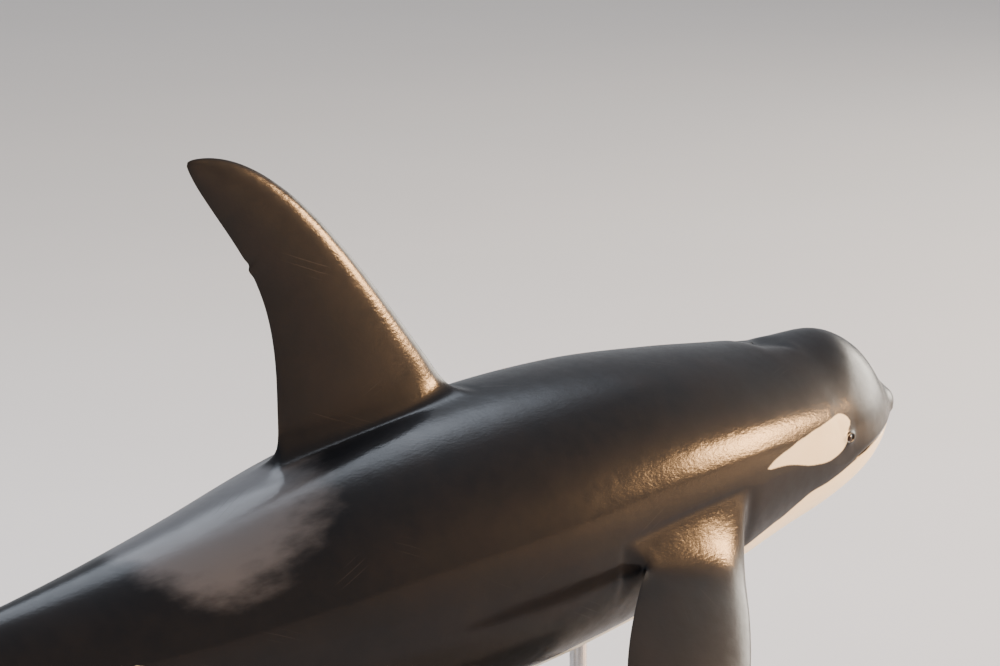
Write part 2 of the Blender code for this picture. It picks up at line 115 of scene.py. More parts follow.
class Finish:
    def __init__(self, name):
        self.material = bpy.data.materials.new(name)
        self.material.use_nodes = True
        self.tree = self.material.node_tree
        self.place = self.add("TexCoord").outputs["Object"]

    def feed(self, node, inputs):
        """Feeds inputs by number or by name, where an underscore stands for a space."""
        for key, value in inputs.items():
            socket = node.inputs[key.replace("_", " ") if isinstance(key, str) else key]
            if isinstance(value, bpy.types.NodeSocket):
                self.tree.links.new(value, socket)
            else:
                socket.default_value = (*value, 1.0) if socket.type == "RGBA" else value
        return node

    def add(self, kind, settings=None, **inputs):
        node = self.tree.nodes.new("ShaderNode" + kind)
        for key, value in (settings or {}).items():
            setattr(node, key, value)
        return self.feed(node, inputs)

    def shade(self, **inputs):
        """Feeds the shader and gives the finished material."""
        self.feed(self.tree.nodes["Principled BSDF"], inputs)
        return self.material

    def maths(self, operation, *values):
        node = self.add("Math", {"operation": operation})
        return self.feed(node, dict(enumerate(values))).outputs[0]

    def remap(self, value, low, high, out_low=0.0, out_high=1.0):
        """Spreads low to high softly over out_low to out_high, and holds still outside them."""
        ends = {"From_Min": low, "From_Max": high, "To_Min": out_low, "To_Max": out_high}
        soft = {"interpolation_type": "SMOOTHSTEP"}
        return self.add("MapRange", soft, Value=value, **ends).outputs[0]

    def mix(self, share, first, second):
        """A colour on the way from first to second."""
        node = self.add("Mix", {"data_type": "RGBA"})
        return self.feed(node, {0: share, 6: first, 7: second}).outputs[2]

    def grain(self, scale, detail=2.0, roughness=0.5, place=None):
        """Soft noise between 0 and 1, with about scale lumps to a metre. A scale of three
        numbers is one for each axis, and draws the lumps out."""
        place = place or self.place
        if isinstance(scale, tuple):
            place, scale = self.add("Mapping", Vector=place, Scale=scale).outputs[0], 1.0
        inputs = {"Vector": place, "Scale": scale, "Detail": detail, "Roughness": roughness}
        return self.add("TexNoise", **inputs).outputs[0]

    def shift(self, noise, width):
        """Noise that moves a border to and fro, over that width in all."""
        return self.maths("MULTIPLY", self.maths("SUBTRACT", noise, 0.5), width)

    def attribute(self, name):
        return self.add("Attribute", {"attribute_name": name}).outputs["Fac"]

    def bump(self, height, distance, strength, **below):
        """A normal that makes the height look raised by that distance in metres."""
        sizes = {"Distance": distance, "Strength": strength}
        return self.add("Bump", Height=height, **sizes, **below).outputs[0]


# %% [markdown]
# ## The body's shape
#
# The skin has to lie where the solids are, so it uses the same named sizes: a spine axis
# that runs straight from the snout and then bends level towards the tail, and stations
# along it that say how high, deep and wide the body is. One way would be to wrap the
# solids with a shrinkwrap, but their cuts would show through. Working from the same
# stations gives one smooth surface with no cuts at all.

# %% Named sizes of the body
BODY_LENGTH = 6.5
PERCENT = BODY_LENGTH / 100
HEAD_PITCH = math.radians(9.5)
TAIL_PITCH = math.radians(-2.0)
ARCH_START = 56 * PERCENT
ARCH_END = 100 * PERCENT
ARCH_RADIUS = (ARCH_END - ARCH_START) / (HEAD_PITCH - TAIL_PITCH)
SNOUT_TIP = Vector((2.86, 0.0, 1.78))

# Columns: behind the snout, top, belly, half width and height of the widest place, all in
# percent of the length, then the fullness of the section above and below the widest place,
# where 2 is an ellipse.
STATIONS = (
    (0.0, -1.7, -1.7, 0.0, -1.7, 2.0, 2.0),
    (0.7, -0.7, -2.8, 1.1, -1.8, 1.85, 2.0),
    (1.7, 0.55, -3.5, 1.75, -1.85, 1.75, 2.1),
    (3.3, 2.95, -4.55, 3.05, -1.8, 1.85, 2.2),
    (6.0, 4.75, -5.75, 4.5, -1.7, 1.95, 2.2),
    (9.5, 5.2, -6.7, 5.5, -1.3, 2.05, 2.2),
    (14.0, 6.0, -7.5, 6.5, -0.8, 2.1, 2.1),
    (20.0, 7.3, -8.6, 7.6, -0.4, 2.1, 2.1),
    (28.0, 8.7, -9.5, 8.5, -0.2, 2.1, 2.1),
    (38.0, 9.4, -10.1, 9.0, -0.1, 2.0, 2.1),
    (50.0, 9.0, -9.6, 8.3, 0.0, 2.0, 2.0),
    (62.0, 7.3, -7.6, 6.3, 0.0, 1.9, 1.9),
    (75.0, 5.2, -5.3, 3.8, 0.0, 1.8, 1.8),
    (87.0, 3.2, -3.2, 1.9, 0.0, 1.7, 1.7),
    (93.0, 1.9, -1.9, 1.4, 0.0, 1.8, 1.8),
    (96.5, 1.0, -1.0, 1.35, 0.0, 1.9, 1.9),
    (99.0, 0.4, -0.4, 1.35, 0.0, 2.0, 2.0),
)
LENGTHS = TOP, BELLY, HALF_WIDTH, WIDEST = 1, 2, 3, 4
FULLNESSES = CROWN, KEEL = 5, 6
HEAD_END = 13.5 * PERCENT
TIP_HEIGHT = -1.75 * PERCENT
MOUTH_HEIGHT = -2.35 * PERCENT
MOUTH_DROP = 0.85 * PERCENT
MOUTH_CORNER = 8.0 * PERCENT
JAW_SETBACK = 0.012

# %% [markdown]
# A place on the body is given as `behind`, the distance back from the snout along the
# axis, `side`, the distance to the orca's left, and `height` above the axis.

# %% From places along the spine to points of the model


def pitch_at(behind):
    share = min(max((behind - ARCH_START) / (ARCH_END - ARCH_START), 0.0), 1.0)
    return HEAD_PITCH + (TAIL_PITCH - HEAD_PITCH) * share


def axis_point(behind):
    """A point of the spine axis: straight from the snout, then an arc, then straight."""
    straight = min(behind, ARCH_START)
    back = straight * math.cos(HEAD_PITCH)
    down = straight * math.sin(HEAD_PITCH)
    if behind > ARCH_START:
        pitch = pitch_at(behind)
        back += ARCH_RADIUS * (math.sin(HEAD_PITCH) - math.sin(pitch))
        down += ARCH_RADIUS * (math.cos(pitch) - math.cos(HEAD_PITCH))
        beyond = max(behind - ARCH_END, 0.0)
        back += beyond * math.cos(TAIL_PITCH)
        down += beyond * math.sin(TAIL_PITCH)
    return SNOUT_TIP + Vector((-back, 0.0, -down))


def placed(behind, side, height):
    pitch = pitch_at(behind)
    level = height - TIP_HEIGHT
    return axis_point(behind) + Vector((-level * math.sin(pitch), side, level * math.cos(pitch)))


def smooth_value(column, behind):
    """One column of the stations at a place, on a smooth curve through them. The curve
    runs over the root of the distance, so that the snout comes out round."""
    where = math.sqrt(max(behind, 0.0) / PERCENT)
    knots = [math.sqrt(station[0]) for station in STATIONS]
    values = [station[column] for station in STATIONS]
    last = len(knots) - 1
    index = max(i for i in range(last) if knots[i] <= where or i == 0)
    width = knots[index + 1] - knots[index]
    slopes = []
    for i in (index, index + 1):
        before, after = max(i - 1, 0), min(i + 1, last)
        slopes.append((values[after] - values[before]) / (knots[after] - knots[before]))
    t = min((where - knots[index]) / width, 1.0)
    return (
        values[index] * (2 * t**3 - 3 * t**2 + 1)
        + values[index + 1] * (3 * t**2 - 2 * t**3)
        + width * slopes[0] * (t**3 - 2 * t**2 + t)
        + width * slopes[1] * (t**3 - t**2)
    )


def sizes_at(behind):
    """The section's measures by column, with the lengths in metres."""
    sizes = {column: smooth_value(column, behind) * PERCENT for column in LENGTHS}
    sizes.update({column: smooth_value(column, behind) for column in FULLNESSES})
    return sizes


# %% [markdown]
# Each section is a superellipse: an ellipse whose fullness can differ above and below.
# The angle is 0 on top of the back and a right angle on the left side.
#
# The blowhole sits in a shallow bowl behind the melon, the round forehead, so the
# section dips there.

# %% Sections of the body
BLOWHOLE_BEHIND = 11.2 * PERCENT
BOWL_DEPTH = 0.034
BOWL_LENGTH = 0.085
BOWL_WIDTH = 0.095
NORMAL_STEP = 0.002
LEAST_REACH = 1e-4


def signed_power(value, power):
    return math.copysign(abs(value) ** power, value)


def half_section(sizes, above):
    """How far the upper or the lower half reaches from the widest place, and its fullness."""
    if above:
        return sizes[TOP] - sizes[WIDEST], sizes[CROWN]
    return sizes[WIDEST] - sizes[BELLY], sizes[KEEL]


def section_point(behind, angle):
    """(side, height) on the body's skin."""
    sizes = sizes_at(behind)
    above = math.cos(angle) >= 0
    reach, fullness = half_section(sizes, above)
    side = sizes[HALF_WIDTH] * signed_power(math.sin(angle), 2 / fullness)
    height = sizes[WIDEST] + reach * signed_power(math.cos(angle), 2 / fullness)
    if above:
        along = (behind - BLOWHOLE_BEHIND) / BOWL_LENGTH
        height -= BOWL_DEPTH * math.exp(-(along**2) - (side / BOWL_WIDTH) ** 2)
    return side, height


def skin_point(behind, angle):
    return placed(behind, *section_point(behind, angle))


def skin_normal(behind, angle):
    """The outward normal of the body's skin."""
    along = skin_point(behind + NORMAL_STEP, angle) - skin_point(behind - NORMAL_STEP, angle)
    around = skin_point(behind, angle + NORMAL_STEP) - skin_point(behind, angle - NORMAL_STEP)
    normal = along.cross(around).normalized()
    sizes = sizes_at(behind)
    middle = placed(behind, 0.0, 0.5 * (sizes[TOP] + sizes[BELLY]))
    return normal if normal.dot(skin_point(behind, angle) - middle) > 0 else -normal


def angle_at_height(behind, height):
    """The angle on the left side at which the skin has that height."""
    sizes = sizes_at(behind)
    above = height >= sizes[WIDEST]
    reach, fullness = half_section(sizes, above)
    share = min(abs(height - sizes[WIDEST]) / max(reach, LEAST_REACH), 1.0) ** (fullness / 2)
    return math.acos(share if above else -share)


def mouth_height(behind):
    """Height of the mouth line, which sinks gently from the front to its corner."""
    return MOUTH_HEIGHT - MOUTH_DROP * (max(behind, 0.0) / MOUTH_CORNER) ** 1.5


widest = max(sizes_at(station[0] * PERCENT)[HALF_WIDTH] for station in STATIONS)
print("the body is", round(2 * widest, 2), "m wide")

# %% [markdown]
# ## A cage for the skin
#
# An orca's skin is one taut surface, so we model it as one coarse cage of four-sided
# faces and let a Subdivision Surface round it. The cage is a grid rolled into a tube:
# its rows run from snout to tail and its lanes run round the body. Lanes are numbered
# 0 on the back, 10 along the mouth and the middle of the side, and 20 under the belly,
# and two extra lanes hug the mouth line so that there are points for the lips.
#
# Flat sections don't suit the front of the snout, where the mouth line runs across below
# the tip. There the rows are the rings of a fan of rays instead, which opens from a point
# inside the head at the height of the mouth.

# %% Rows and lanes
MOUTH_LANE, BELLY_LANE = 10, 20
LIP_GAP = 0.6
LANE_STOPS = [*range(10), MOUTH_LANE - LIP_GAP, MOUTH_LANE, MOUTH_LANE + LIP_GAP, *range(11, 21)]
LANES_AROUND = 2 * (len(LANE_STOPS) - 1)
SNOUT_CAP_END = 0.03
FAN_CENTRE = 0.16
TAIL_END = 6.44
FIN_FROM, FIN_TO = 2.42, 3.50
FLIPPER_FROM, FLIPPER_TO = 1.34, 2.08
FLUKE_FROM = 5.62

# Where each stretch of rows ends, in metres behind the snout, and how many rows it has.
ROW_STOPS = (
    (FAN_CENTRE, 6), (0.42, 6), (0.90, 12), (FLIPPER_FROM, 6), (FLIPPER_TO, 8),
    (FIN_FROM, 7), (FIN_TO, 10), (FLUKE_FROM, 13), (TAIL_END, 9),
)


def smoothstep(low, high, value):
    t = min(max((value - low) / (high - low), 0.0), 1.0)
    return t * t * (3 - 2 * t)


def row_places():
    """Where the rows lie behind the snout. Up to the fan's centre they count its opening."""
    places = [SNOUT_CAP_END]
    for end, count in ROW_STOPS:
        start = places[-1]
        places += [start + (end - start) * i / count for i in range(1, count + 1)]
    return places


ROWS = row_places()
print("cage:", len(ROWS), "rows of", LANES_AROUND, "lanes")

# %% [markdown]
# The mouth is closed, so all that shows is a long line with soft lips above and below
# it. Cutting a slot would leave two thin edges. Instead the lane on the mouth line is
# pulled in a little way and its neighbours are raised a hair, which makes a rounded
# groove that fades out at the corner. The lower jaw ends a little short of the snout.
#
# To find where a ray of the fan leaves the head, we halve the stretch between a point
# inside and a point outside until they meet. The ray follows the sinking mouth line, so
# lane 10 stays on it all the way round the front.

# %% Mouth groove, lips and lower jaw
GROOVE_DEPTH = 0.012
LIP_REACH = 0.013
LIP_CREST = 0.0025
LIP_ROOM = 0.12
LEAST_LIP = 0.35
LEAST_HALF_WIDTH = 0.03
MOUTH_HELD = 0.1
MOUTH_FADE = 0.05
SIDE_LANES_FROM = 1.05
FAN_REACH = 0.5
HALVINGS = 24


def lane_angle(behind, lane):
    """The angle of a lane. Lane 10 is on the mouth line, and behind it halfway down the side."""
    relaxed = smoothstep(MOUTH_CORNER, SIDE_LANES_FROM, behind)
    held = min(behind, MOUTH_CORNER + MOUTH_HELD)
    mouth = angle_at_height(behind, mouth_height(held))
    middle = mouth + (math.pi / 2 - mouth) * relaxed
    above = lane < MOUTH_LANE
    span = middle if above else math.pi - middle
    if lane in (MOUTH_LANE - LIP_GAP, MOUTH_LANE + LIP_GAP):
        lip = LIP_REACH / max(sizes_at(behind)[HALF_WIDTH], LEAST_HALF_WIDTH)
        spread = LIP_GAP * span / 10
        return middle + (-1 if above else 1) * (min(lip, spread) * (1 - relaxed) + spread * relaxed)
    if lane <= MOUTH_LANE:
        return middle * lane / 10
    return math.pi - span * (BELLY_LANE - lane) / 10


def lip_push(lane, closed):
    """How far a lane stands out of the head, or below 0 into it, to shape the lips."""
    off = abs(lane - MOUTH_LANE)
    if off == 0:
        return -GROOVE_DEPTH * closed
    return LIP_CREST * closed if off <= LIP_GAP else 0.0


def is_inside(behind, side, height):
    if behind <= 0:
        return False
    sizes = sizes_at(behind)
    reach, fullness = half_section(sizes, height >= sizes[WIDEST])
    up = abs(height - sizes[WIDEST]) / max(reach, LEAST_REACH)
    out = abs(side) / max(sizes[HALF_WIDTH], LEAST_REACH)
    return up**fullness + out**fullness < 1


def fan_spot(opening, lane):
    """(behind, side, height) of a lane on the ring of rays with that opening."""
    rim_side, rim_height = section_point(FAN_CENTRE, lane_angle(FAN_CENTRE, lane))
    turn = math.atan2(rim_side, rim_height - mouth_height(FAN_CENTRE))
    swing = math.pi / 2 * opening / FAN_CENTRE

    def along_ray(reach):
        behind = FAN_CENTRE - reach * math.cos(swing)
        out = reach * math.sin(swing)
        return behind, out * math.sin(turn), mouth_height(behind) + out * math.cos(turn)

    inner, outer = 0.0, FAN_REACH
    for _ in range(HALVINGS):
        middle = (inner + outer) / 2
        if is_inside(*along_ray(middle)):
            inner = middle
        else:
            outer = middle
    room = min(max(inner * math.sin(swing) / LIP_ROOM, LEAST_LIP), 1.0)
    return along_ray(inner + lip_push(lane, room))


# %% [markdown]
# The tail's end is where the two flukes part. The sides of its last rows are moved back
# a little from the middle, which leaves the notch between the flukes.

# %% Points of the cage
NOTCH_FROM = 6.12
NOTCH_DEPTH = 0.07
HALF_STOCK = 1.35 * PERCENT


def notch_shift(behind, side):
    """How far the sides of the tail's end lie behind its middle, so that a notch is left."""
    return NOTCH_DEPTH * min(side / HALF_STOCK, 1.0) * smoothstep(NOTCH_FROM, TAIL_END, behind)


def body_spot(row_place, lane, left=True):
    """The cage's point on the body, with the groove of the mouth and the set-back jaw."""
    if row_place < FAN_CENTRE:
        behind, side, height = fan_spot(row_place, lane)
    else:
        behind = row_place
        side, height = section_point(behind, lane_angle(behind, lane))
        closed = 1 - smoothstep(MOUTH_CORNER - MOUTH_FADE, MOUTH_CORNER + MOUTH_FADE, behind)
        side += lip_push(lane, closed)
    jaw = min(max((lane - MOUTH_LANE) / LIP_GAP, 0.0), 1.0)
    setback = jaw * JAW_SETBACK * max(1 - behind / HEAD_END, 0.0)
    shift = setback + notch_shift(behind, side)
    return placed(behind + shift, side if left else -side, height)


# %% [markdown]
# `create_grid` gives the points in rows. We roll it up by giving its first and last
# columns the same place and merging them. Two integer layers remember each point's row
# and lane, so that later cells can find the patch that a fin grows from.

# %% The tube


def lane_of(column):
    """(lane, on the left side) of a column of the rolled-up grid."""
    column %= LANES_AROUND
    left = column <= LANES_AROUND // 2
    return LANE_STOPS[column if left else LANES_AROUND - column], left


def roll_tube(bm):
    row_layer = bm.verts.layers.int.new("row")
    lane_layer = bm.verts.layers.int.new("lane")
    bmesh.ops.create_grid(bm, x_segments=LANES_AROUND, y_segments=len(ROWS) - 1, size=1)
    bm.verts.ensure_lookup_table()
    for row, behind in enumerate(ROWS):
        for column in range(LANES_AROUND + 1):
            vert = bm.verts[row * (LANES_AROUND + 1) + column]
            vert.co = body_spot(behind, *lane_of(column))
            vert[row_layer] = row
            vert[lane_layer] = column % LANES_AROUND
    print("tube:", len(bm.faces), "faces")


# %% [markdown]
# A tube that is closed by a fan of triangles puckers at its pole. A square grid pushed
# out to a round rim has no pole, so both the snout and the end of the tail are closed
# with one, point for point on the tube's rim. The rim's points carry the same row and
# lane as the tube's, because a merge keeps the numbers of only one of the two.

# %% Snout and tail caps
CAP_REACH = 5
CAP_ACROSS = list(range(-CAP_REACH, CAP_REACH + 1))
CAP_UP = [*range(-CAP_REACH, 0), -LIP_GAP, 0, LIP_GAP, *range(1, CAP_REACH + 1)]
CLOSE = 1e-6
INSIDE_CAP = -1
TAIL_BULGE = 0.01


def cap_lane(across, up):
    """The lane that a ray from the middle of the cap through this point meets."""
    scale = CAP_REACH / max(abs(across), abs(up))
    across, up = abs(across) * scale, up * scale
    if up >= CAP_REACH - CLOSE:
        return across
    if up <= -CAP_REACH + CLOSE:
        return BELLY_LANE - across
    return MOUTH_LANE - up


def add_cap(bm, spot, row):
    """A grid whose points are put in place by spot(share of the rim's reach, lane, left side).
    Its rim is welded to that row of the tube."""
    row_layer, lane_layer = bm.verts.layers.int["row"], bm.verts.layers.int["lane"]
    squares = {"x_segments": len(CAP_ACROSS) - 1, "y_segments": len(CAP_UP) - 1}
    made = bmesh.ops.create_grid(bm, size=1, **squares)["verts"]
    for index, vert in enumerate(made):
        across = CAP_ACROSS[index % len(CAP_ACROSS)]
        up = CAP_UP[index // len(CAP_ACROSS)]
        reach = max(abs(across), abs(up)) / CAP_REACH
        lane = cap_lane(across, up) if reach > 0 else MOUTH_LANE
        vert.co = spot(reach, lane, across >= 0)
        vert[row_layer] = INSIDE_CAP
        if reach == 1:
            stop = LANE_STOPS.index(lane)
            vert[row_layer] = row
            vert[lane_layer] = stop if across >= 0 else -stop % LANES_AROUND


def snout_spot(reach, lane, left):
    return body_spot(SNOUT_CAP_END * reach, lane, left)


def tail_spot(reach, lane, left):
    middle = placed(TAIL_END + TAIL_BULGE, 0.0, 0.0)
    return middle.lerp(body_spot(TAIL_END, lane, left), reach)


# %% [markdown]
# ## Growing the fins
#
# A fin on this animal flows out of the body, with no seam. So each one is grown from a
# rectangular patch of the tube: the patch is extruded level by level, and at each level
# its rim is laid on the next section of the fin. The same move, with other sections,
# makes the eyelids and the blowhole.

# %% Extrude a patch through rings


def row_at(behind):
    """The row nearest to a place."""
    return min(range(len(ROWS)), key=lambda row: abs(ROWS[row] - behind))


def lanes_between(first, last, side):
    """The columns from one lane to another, on the left where side is 1 and right where -1."""
    return [side * stop for stop in range(LANE_STOPS.index(first), LANE_STOPS.index(last) + 1)]


def rim_slots(rows, lanes):
    """The place on the ring, 0 to 2 (rows + lanes) - 1, of each point of a patch's rim.
    It starts at the middle of the front edge and runs to the far lane first."""
    total = 2 * (rows + lanes)
    slots = {}
    for i in range(rows + 1):
        slots[i, lanes] = lanes // 2 + i
        slots[i, 0] = total - lanes // 2 - i
    for j in range(lanes + 1):
        slots[0, j] = (j - lanes // 2) % total
        slots[rows, j] = lanes // 2 + rows + lanes - j
    return slots, total


class Patch:
    """A rectangle of the tube's faces between two places along the spine."""

    def __init__(self, bm, start, end, columns):
        row_layer, lane_layer = bm.verts.layers.int["row"], bm.verts.layers.int["lane"]
        rows = list(range(row_at(start), row_at(end) + 1))
        places = {}
        for i, row in enumerate(rows):
            for j, column in enumerate(columns):
                places[row, column % LANES_AROUND] = (i, j)
        self.bm = bm
        self.lanes = len(columns) - 1
        slots, total = rim_slots(len(rows) - 1, self.lanes)
        self.turns = {place: 2 * math.pi * slot / total for place, slot in slots.items()}
        self.at = {}
        for vert in bm.verts:
            key = (vert[row_layer], vert[lane_layer])
            if key in places:
                self.at[vert] = places[key]
        self.faces = [f for f in bm.faces if all(vert in self.at for vert in f.verts)]

    def raise_to(self, ring, marks):
        """Extrudes the patch and lays its rim on a ring, a function of the turn round it.
        A mark is a number or such a function, which gets None inside the rim."""
        slot_of = self.bm.verts.layers.int["slot"]
        for vert, (i, j) in self.at.items():
            vert[slot_of] = i * (self.lanes + 1) + j
        made = bmesh.ops.extrude_face_region(self.bm, geom=self.faces)["geom"]
        bmesh.ops.delete(self.bm, geom=self.faces, context="FACES")
        self.faces = [item for item in made if isinstance(item, bmesh.types.BMFace)]
        fresh = [item for item in made if isinstance(item, bmesh.types.BMVert)]
        self.at = {vert: divmod(vert[slot_of], self.lanes + 1) for vert in fresh}
        rim = {place: ring(turn) for place, turn in self.turns.items()}
        for vert, (i, j) in self.at.items():
            if (i, j) in rim:
                vert.co = rim[i, j]
            else:
                vert.co = rim[i, 0].lerp(rim[i, self.lanes], j / self.lanes)
            for layer, mark in marks.items():
                vert[layer] = mark(self.turns.get((i, j))) if callable(mark) else mark


# %% [markdown]
# The fins' outlines are cubic curves, one for the front edge and one for the back edge,
# and between them the section is that of a wing: round in front and thin behind. A fin
# is thicker where it meets the body, and some edges start further out there, so that
# the skin runs into the root in a soft hollow and not round a tight corner.

# %% Outlines and sections of the fins
from collections import namedtuple

TIP_ROUNDNESS = 16
TIP_SHARE = 0.985
RIM_SHARE = 0.12
WING_PEAK = 0.385
ROOT_FADE = 3

# Both edges, the half thickness at the root and at the tip, how much is added where the
# fin leaves the body and up to which share of the way, and how much further out its front
# and back edge start.
Blade = namedtuple("Blade", "front back root tip flare flare_end lead trail")


def curve(start, first_handle, second_handle, end):
    """The cubic curve with these control points, as a function of a share from 0 to 1."""
    a, b, c, d = (Vector(point) for point in (start, first_handle, second_handle, end))

    def point_at(t):
        return a * (1 - t) ** 3 + b * 3 * t * (1 - t) ** 2 + c * 3 * t * t * (1 - t) + d * t**3

    return point_at


def share_across(turn):
    """The share of the way from a fin's front edge to its back edge."""
    return (1 - math.cos(turn)) / 2


def foil(turn):
    """Half thickness of a fin's section, at most 1, and signed by its side."""
    across = share_across(turn)
    wing = math.sqrt(across) * (1 - across) / WING_PEAK
    rim = abs(math.sin(turn))
    return math.copysign((1 - RIM_SHARE) * wing + RIM_SHARE * rim, math.sin(turn))


def half_thickness(blade, t):
    taper = blade.root + (blade.tip - blade.root) * t
    spread = blade.flare * max(0.0, 1 - t / blade.flare_end) ** 2
    return (taper + spread) * math.sqrt(max(1 - t**6, 0.0))


def blade_ring(place, blade, t):
    """One section of a fin as a function of the turn round it."""

    def ring(turn):
        across = share_across(turn)
        further = blade.lead * (1 - across) + blade.trail * across
        out = t + further * (1 - t) ** ROOT_FADE
        front, back = blade.front(out), blade.back(out)
        narrowed = math.sqrt(max(1 - out**TIP_ROUNDNESS, 0.0))
        spot = ((front + back) / 2).lerp(front.lerp(back, across), narrowed)
        return place(spot.x, spot.y, foil(turn) * half_thickness(blade, out))

    return ring


def to_the_tip(start, count, end=TIP_SHARE):
    """count + 1 shares of the way to the tip of a fin, closer together at the tip."""
    low, high = math.asin(start), math.asin(end)
    return [math.sin(low + (high - low) * i / count) for i in range(count + 1)]


# %% [markdown]
# A grown male's back fin stands well over a metre above the back. This one hooks back at
# its top and has an old nick in its trailing edge, so a few levels are set close together
# there.

# %% Back fin
BACK_FIN = Blade(
    front=curve((2.34, 0.43), (2.71, 0.91), (3.03, 1.81), (3.655, 1.968)),
    back=curve((3.46, 0.45), (3.29, 1.19), (3.34, 1.33), (3.702, 1.872)),
    root=0.062, tip=0.014, flare=0.05, flare_end=0.2, lead=0.07, trail=0.0,
)
FIN_START, FIN_TOP, FIN_LEVELS = 0.085, 0.998, 18
NICK_AT = 0.655
NICK_REACH = 0.02
NICK_DEPTH = 0.020
NICK_FADE = 9
NICK_ROOM = 2.2
NICK_LEVELS = (-1.8, -0.7, 0.0, 0.7, 1.8)


def nick_shift(t, turn):
    """How far the old nick moves a point of the fin forwards. It fades in from the edge."""
    away = (t - NICK_AT) / NICK_REACH
    return NICK_DEPTH * away * math.exp(-(away**2)) * share_across(turn) ** NICK_FADE


def grow_back_fin(bm, layers):
    def place(behind, height, side):
        return placed(behind, side, height)

    patch = Patch(bm, FIN_FROM, FIN_TO, range(-1, 2))
    shares = to_the_tip(FIN_START, FIN_LEVELS, FIN_TOP)
    shares = [t for t in shares if abs(t - NICK_AT) > NICK_ROOM * NICK_REACH]
    shares += [NICK_AT + NICK_REACH * step for step in NICK_LEVELS]
    print("back fin:", len(shares), "levels")
    for t in sorted(shares):
        plain = blade_ring(place, BACK_FIN, t)

        def nicked(turn):
            return plain(turn) + Vector((nick_shift(t, turn), 0.0, 0.0))

        patch.raise_to(nicked, {layers["fin"]: t})


# %% [markdown]
# The flippers are broad paddles low on the chest. They sweep back and down and curl a
# little towards their tips.

# %% Flippers
FLIPPER_BEHIND = 24.5 * PERCENT
FLIPPER_ANGLE = math.radians(118)
FLIPPER = Blade(
    front=curve((-0.16, 0.20), (0.40, 0.30), (1.16, 0.34), (1.27, -0.02)),
    back=curve((-0.16, -0.20), (0.30, -0.34), (1.10, -0.60), (1.27, -0.10)),
    root=0.055, tip=0.012, flare=0.03, flare_end=0.25, lead=-0.06, trail=0.23,
)
FLIPPER_START, FLIPPER_LEVELS = 0.12, 13
FLIPPER_AIM = Vector((-0.52, 0.62, -0.58))
FLIPPER_TWIST = math.radians(18)
FLIPPER_CURL = 0.10


def grow_flipper(bm, layers, side):
    root = skin_point(FLIPPER_BEHIND, FLIPPER_ANGLE * side)
    span = Vector((FLIPPER_AIM.x, FLIPPER_AIM.y * side, FLIPPER_AIM.z)).normalized()
    forward = Vector((math.cos(FLIPPER_TWIST), 0.0, -math.sin(FLIPPER_TWIST)))
    forward = (forward - span * forward.dot(span)).normalized()
    across = span.cross(forward).normalized() * side

    def place(out, ahead, lift):
        curl = FLIPPER_CURL * max(out, 0.0) ** 2
        return root + span * out + forward * ahead + across * (lift + curl)

    patch = Patch(bm, FLIPPER_FROM, FLIPPER_TO, lanes_between(11, 15, side))
    for t in to_the_tip(FLIPPER_START, FLIPPER_LEVELS):
        patch.raise_to(blade_ring(place, FLIPPER, t), {layers["paddle"]: t})


# %% [markdown]
# The flukes are the two halves of the tail fin. Their front edges sweep back from the
# tail stock, and a notch parts them behind. Three layers remember how far out a point
# is, how far back, and whether it is on the underside, for the white marking there.

# %% Flukes
FLUKE = Blade(
    front=curve((5.58, 0.0), (5.92, 0.27), (6.24, 0.83), (6.65, 0.95)),
    back=curve((6.46, 0.0), (6.61, 0.11), (6.53, 0.60), (6.69, 0.93)),
    root=0.052, tip=0.009, flare=0.012, flare_end=0.4, lead=0.06, trail=0.13,
)
FLUKE_START, FLUKE_LEVELS = 0.11, 13
FLUKE_DROOP = 0.10


def grow_fluke(bm, layers, side):
    def place(behind, out, lift):
        return placed(behind, out * side, -lift - FLUKE_DROOP * out**2)

    patch = Patch(bm, FLUKE_FROM, TAIL_END, lanes_between(6, 14, side))
    for t in to_the_tip(FLUKE_START, FLUKE_LEVELS):
        marks = {
            layers["fluke_out"]: t,
            layers["fluke_back"]: lambda turn: 0.5 if turn is None else share_across(turn),
            layers["fluke_under"]: lambda turn: 0.0 if turn is None else math.sin(turn),
        }
        patch.raise_to(blade_ring(place, FLUKE, t), marks)


# %% [markdown]
# An orca's eye is small and sits low on the cheek, just in front of the white patch.
# Its lids are a thick soft rim round an almond-shaped opening. The patch grows from a
# faint crease over the foot and crest of the lid, and then turns in behind the rim until
# it ends inside the eyeball. Forms as small as this are marked as fine, so that a later
# step leaves them alone.

# %% Eyes and eyelids
EYE_BEHIND = 8.85 * PERCENT
EYE_HEIGHT = -1.5 * PERCENT
EYE_RADIUS = 0.030
EYE_SINK = 0.021
LID_FROM, LID_TO = 0.50, 0.66
LID_DROOP = 0.0015

# Half length, half height and lift off the cheek of each ring of the lids.
LID_RINGS = (
    (0.052, 0.037, 0.0000),
    (0.044, 0.030, 0.0030),
    (0.035, 0.021, 0.0080),
    (0.0265, 0.0135, 0.0060),
    (0.0225, 0.0105, -0.0010),
    (0.020, 0.0095, -0.0120),
)


def eye_frame(side):
    """Place of the eye on the skin, then the directions outward, forward and up there."""
    angle = angle_at_height(EYE_BEHIND, EYE_HEIGHT) * side
    outward = skin_normal(EYE_BEHIND, angle)
    forward = placed(EYE_BEHIND - EYE_RADIUS, 0, 0) - placed(EYE_BEHIND, 0, 0)
    forward = (forward - outward * forward.dot(outward)).normalized()
    upward = outward.cross(forward)
    return skin_point(EYE_BEHIND, angle), outward, forward, upward if upward.z > 0 else -upward


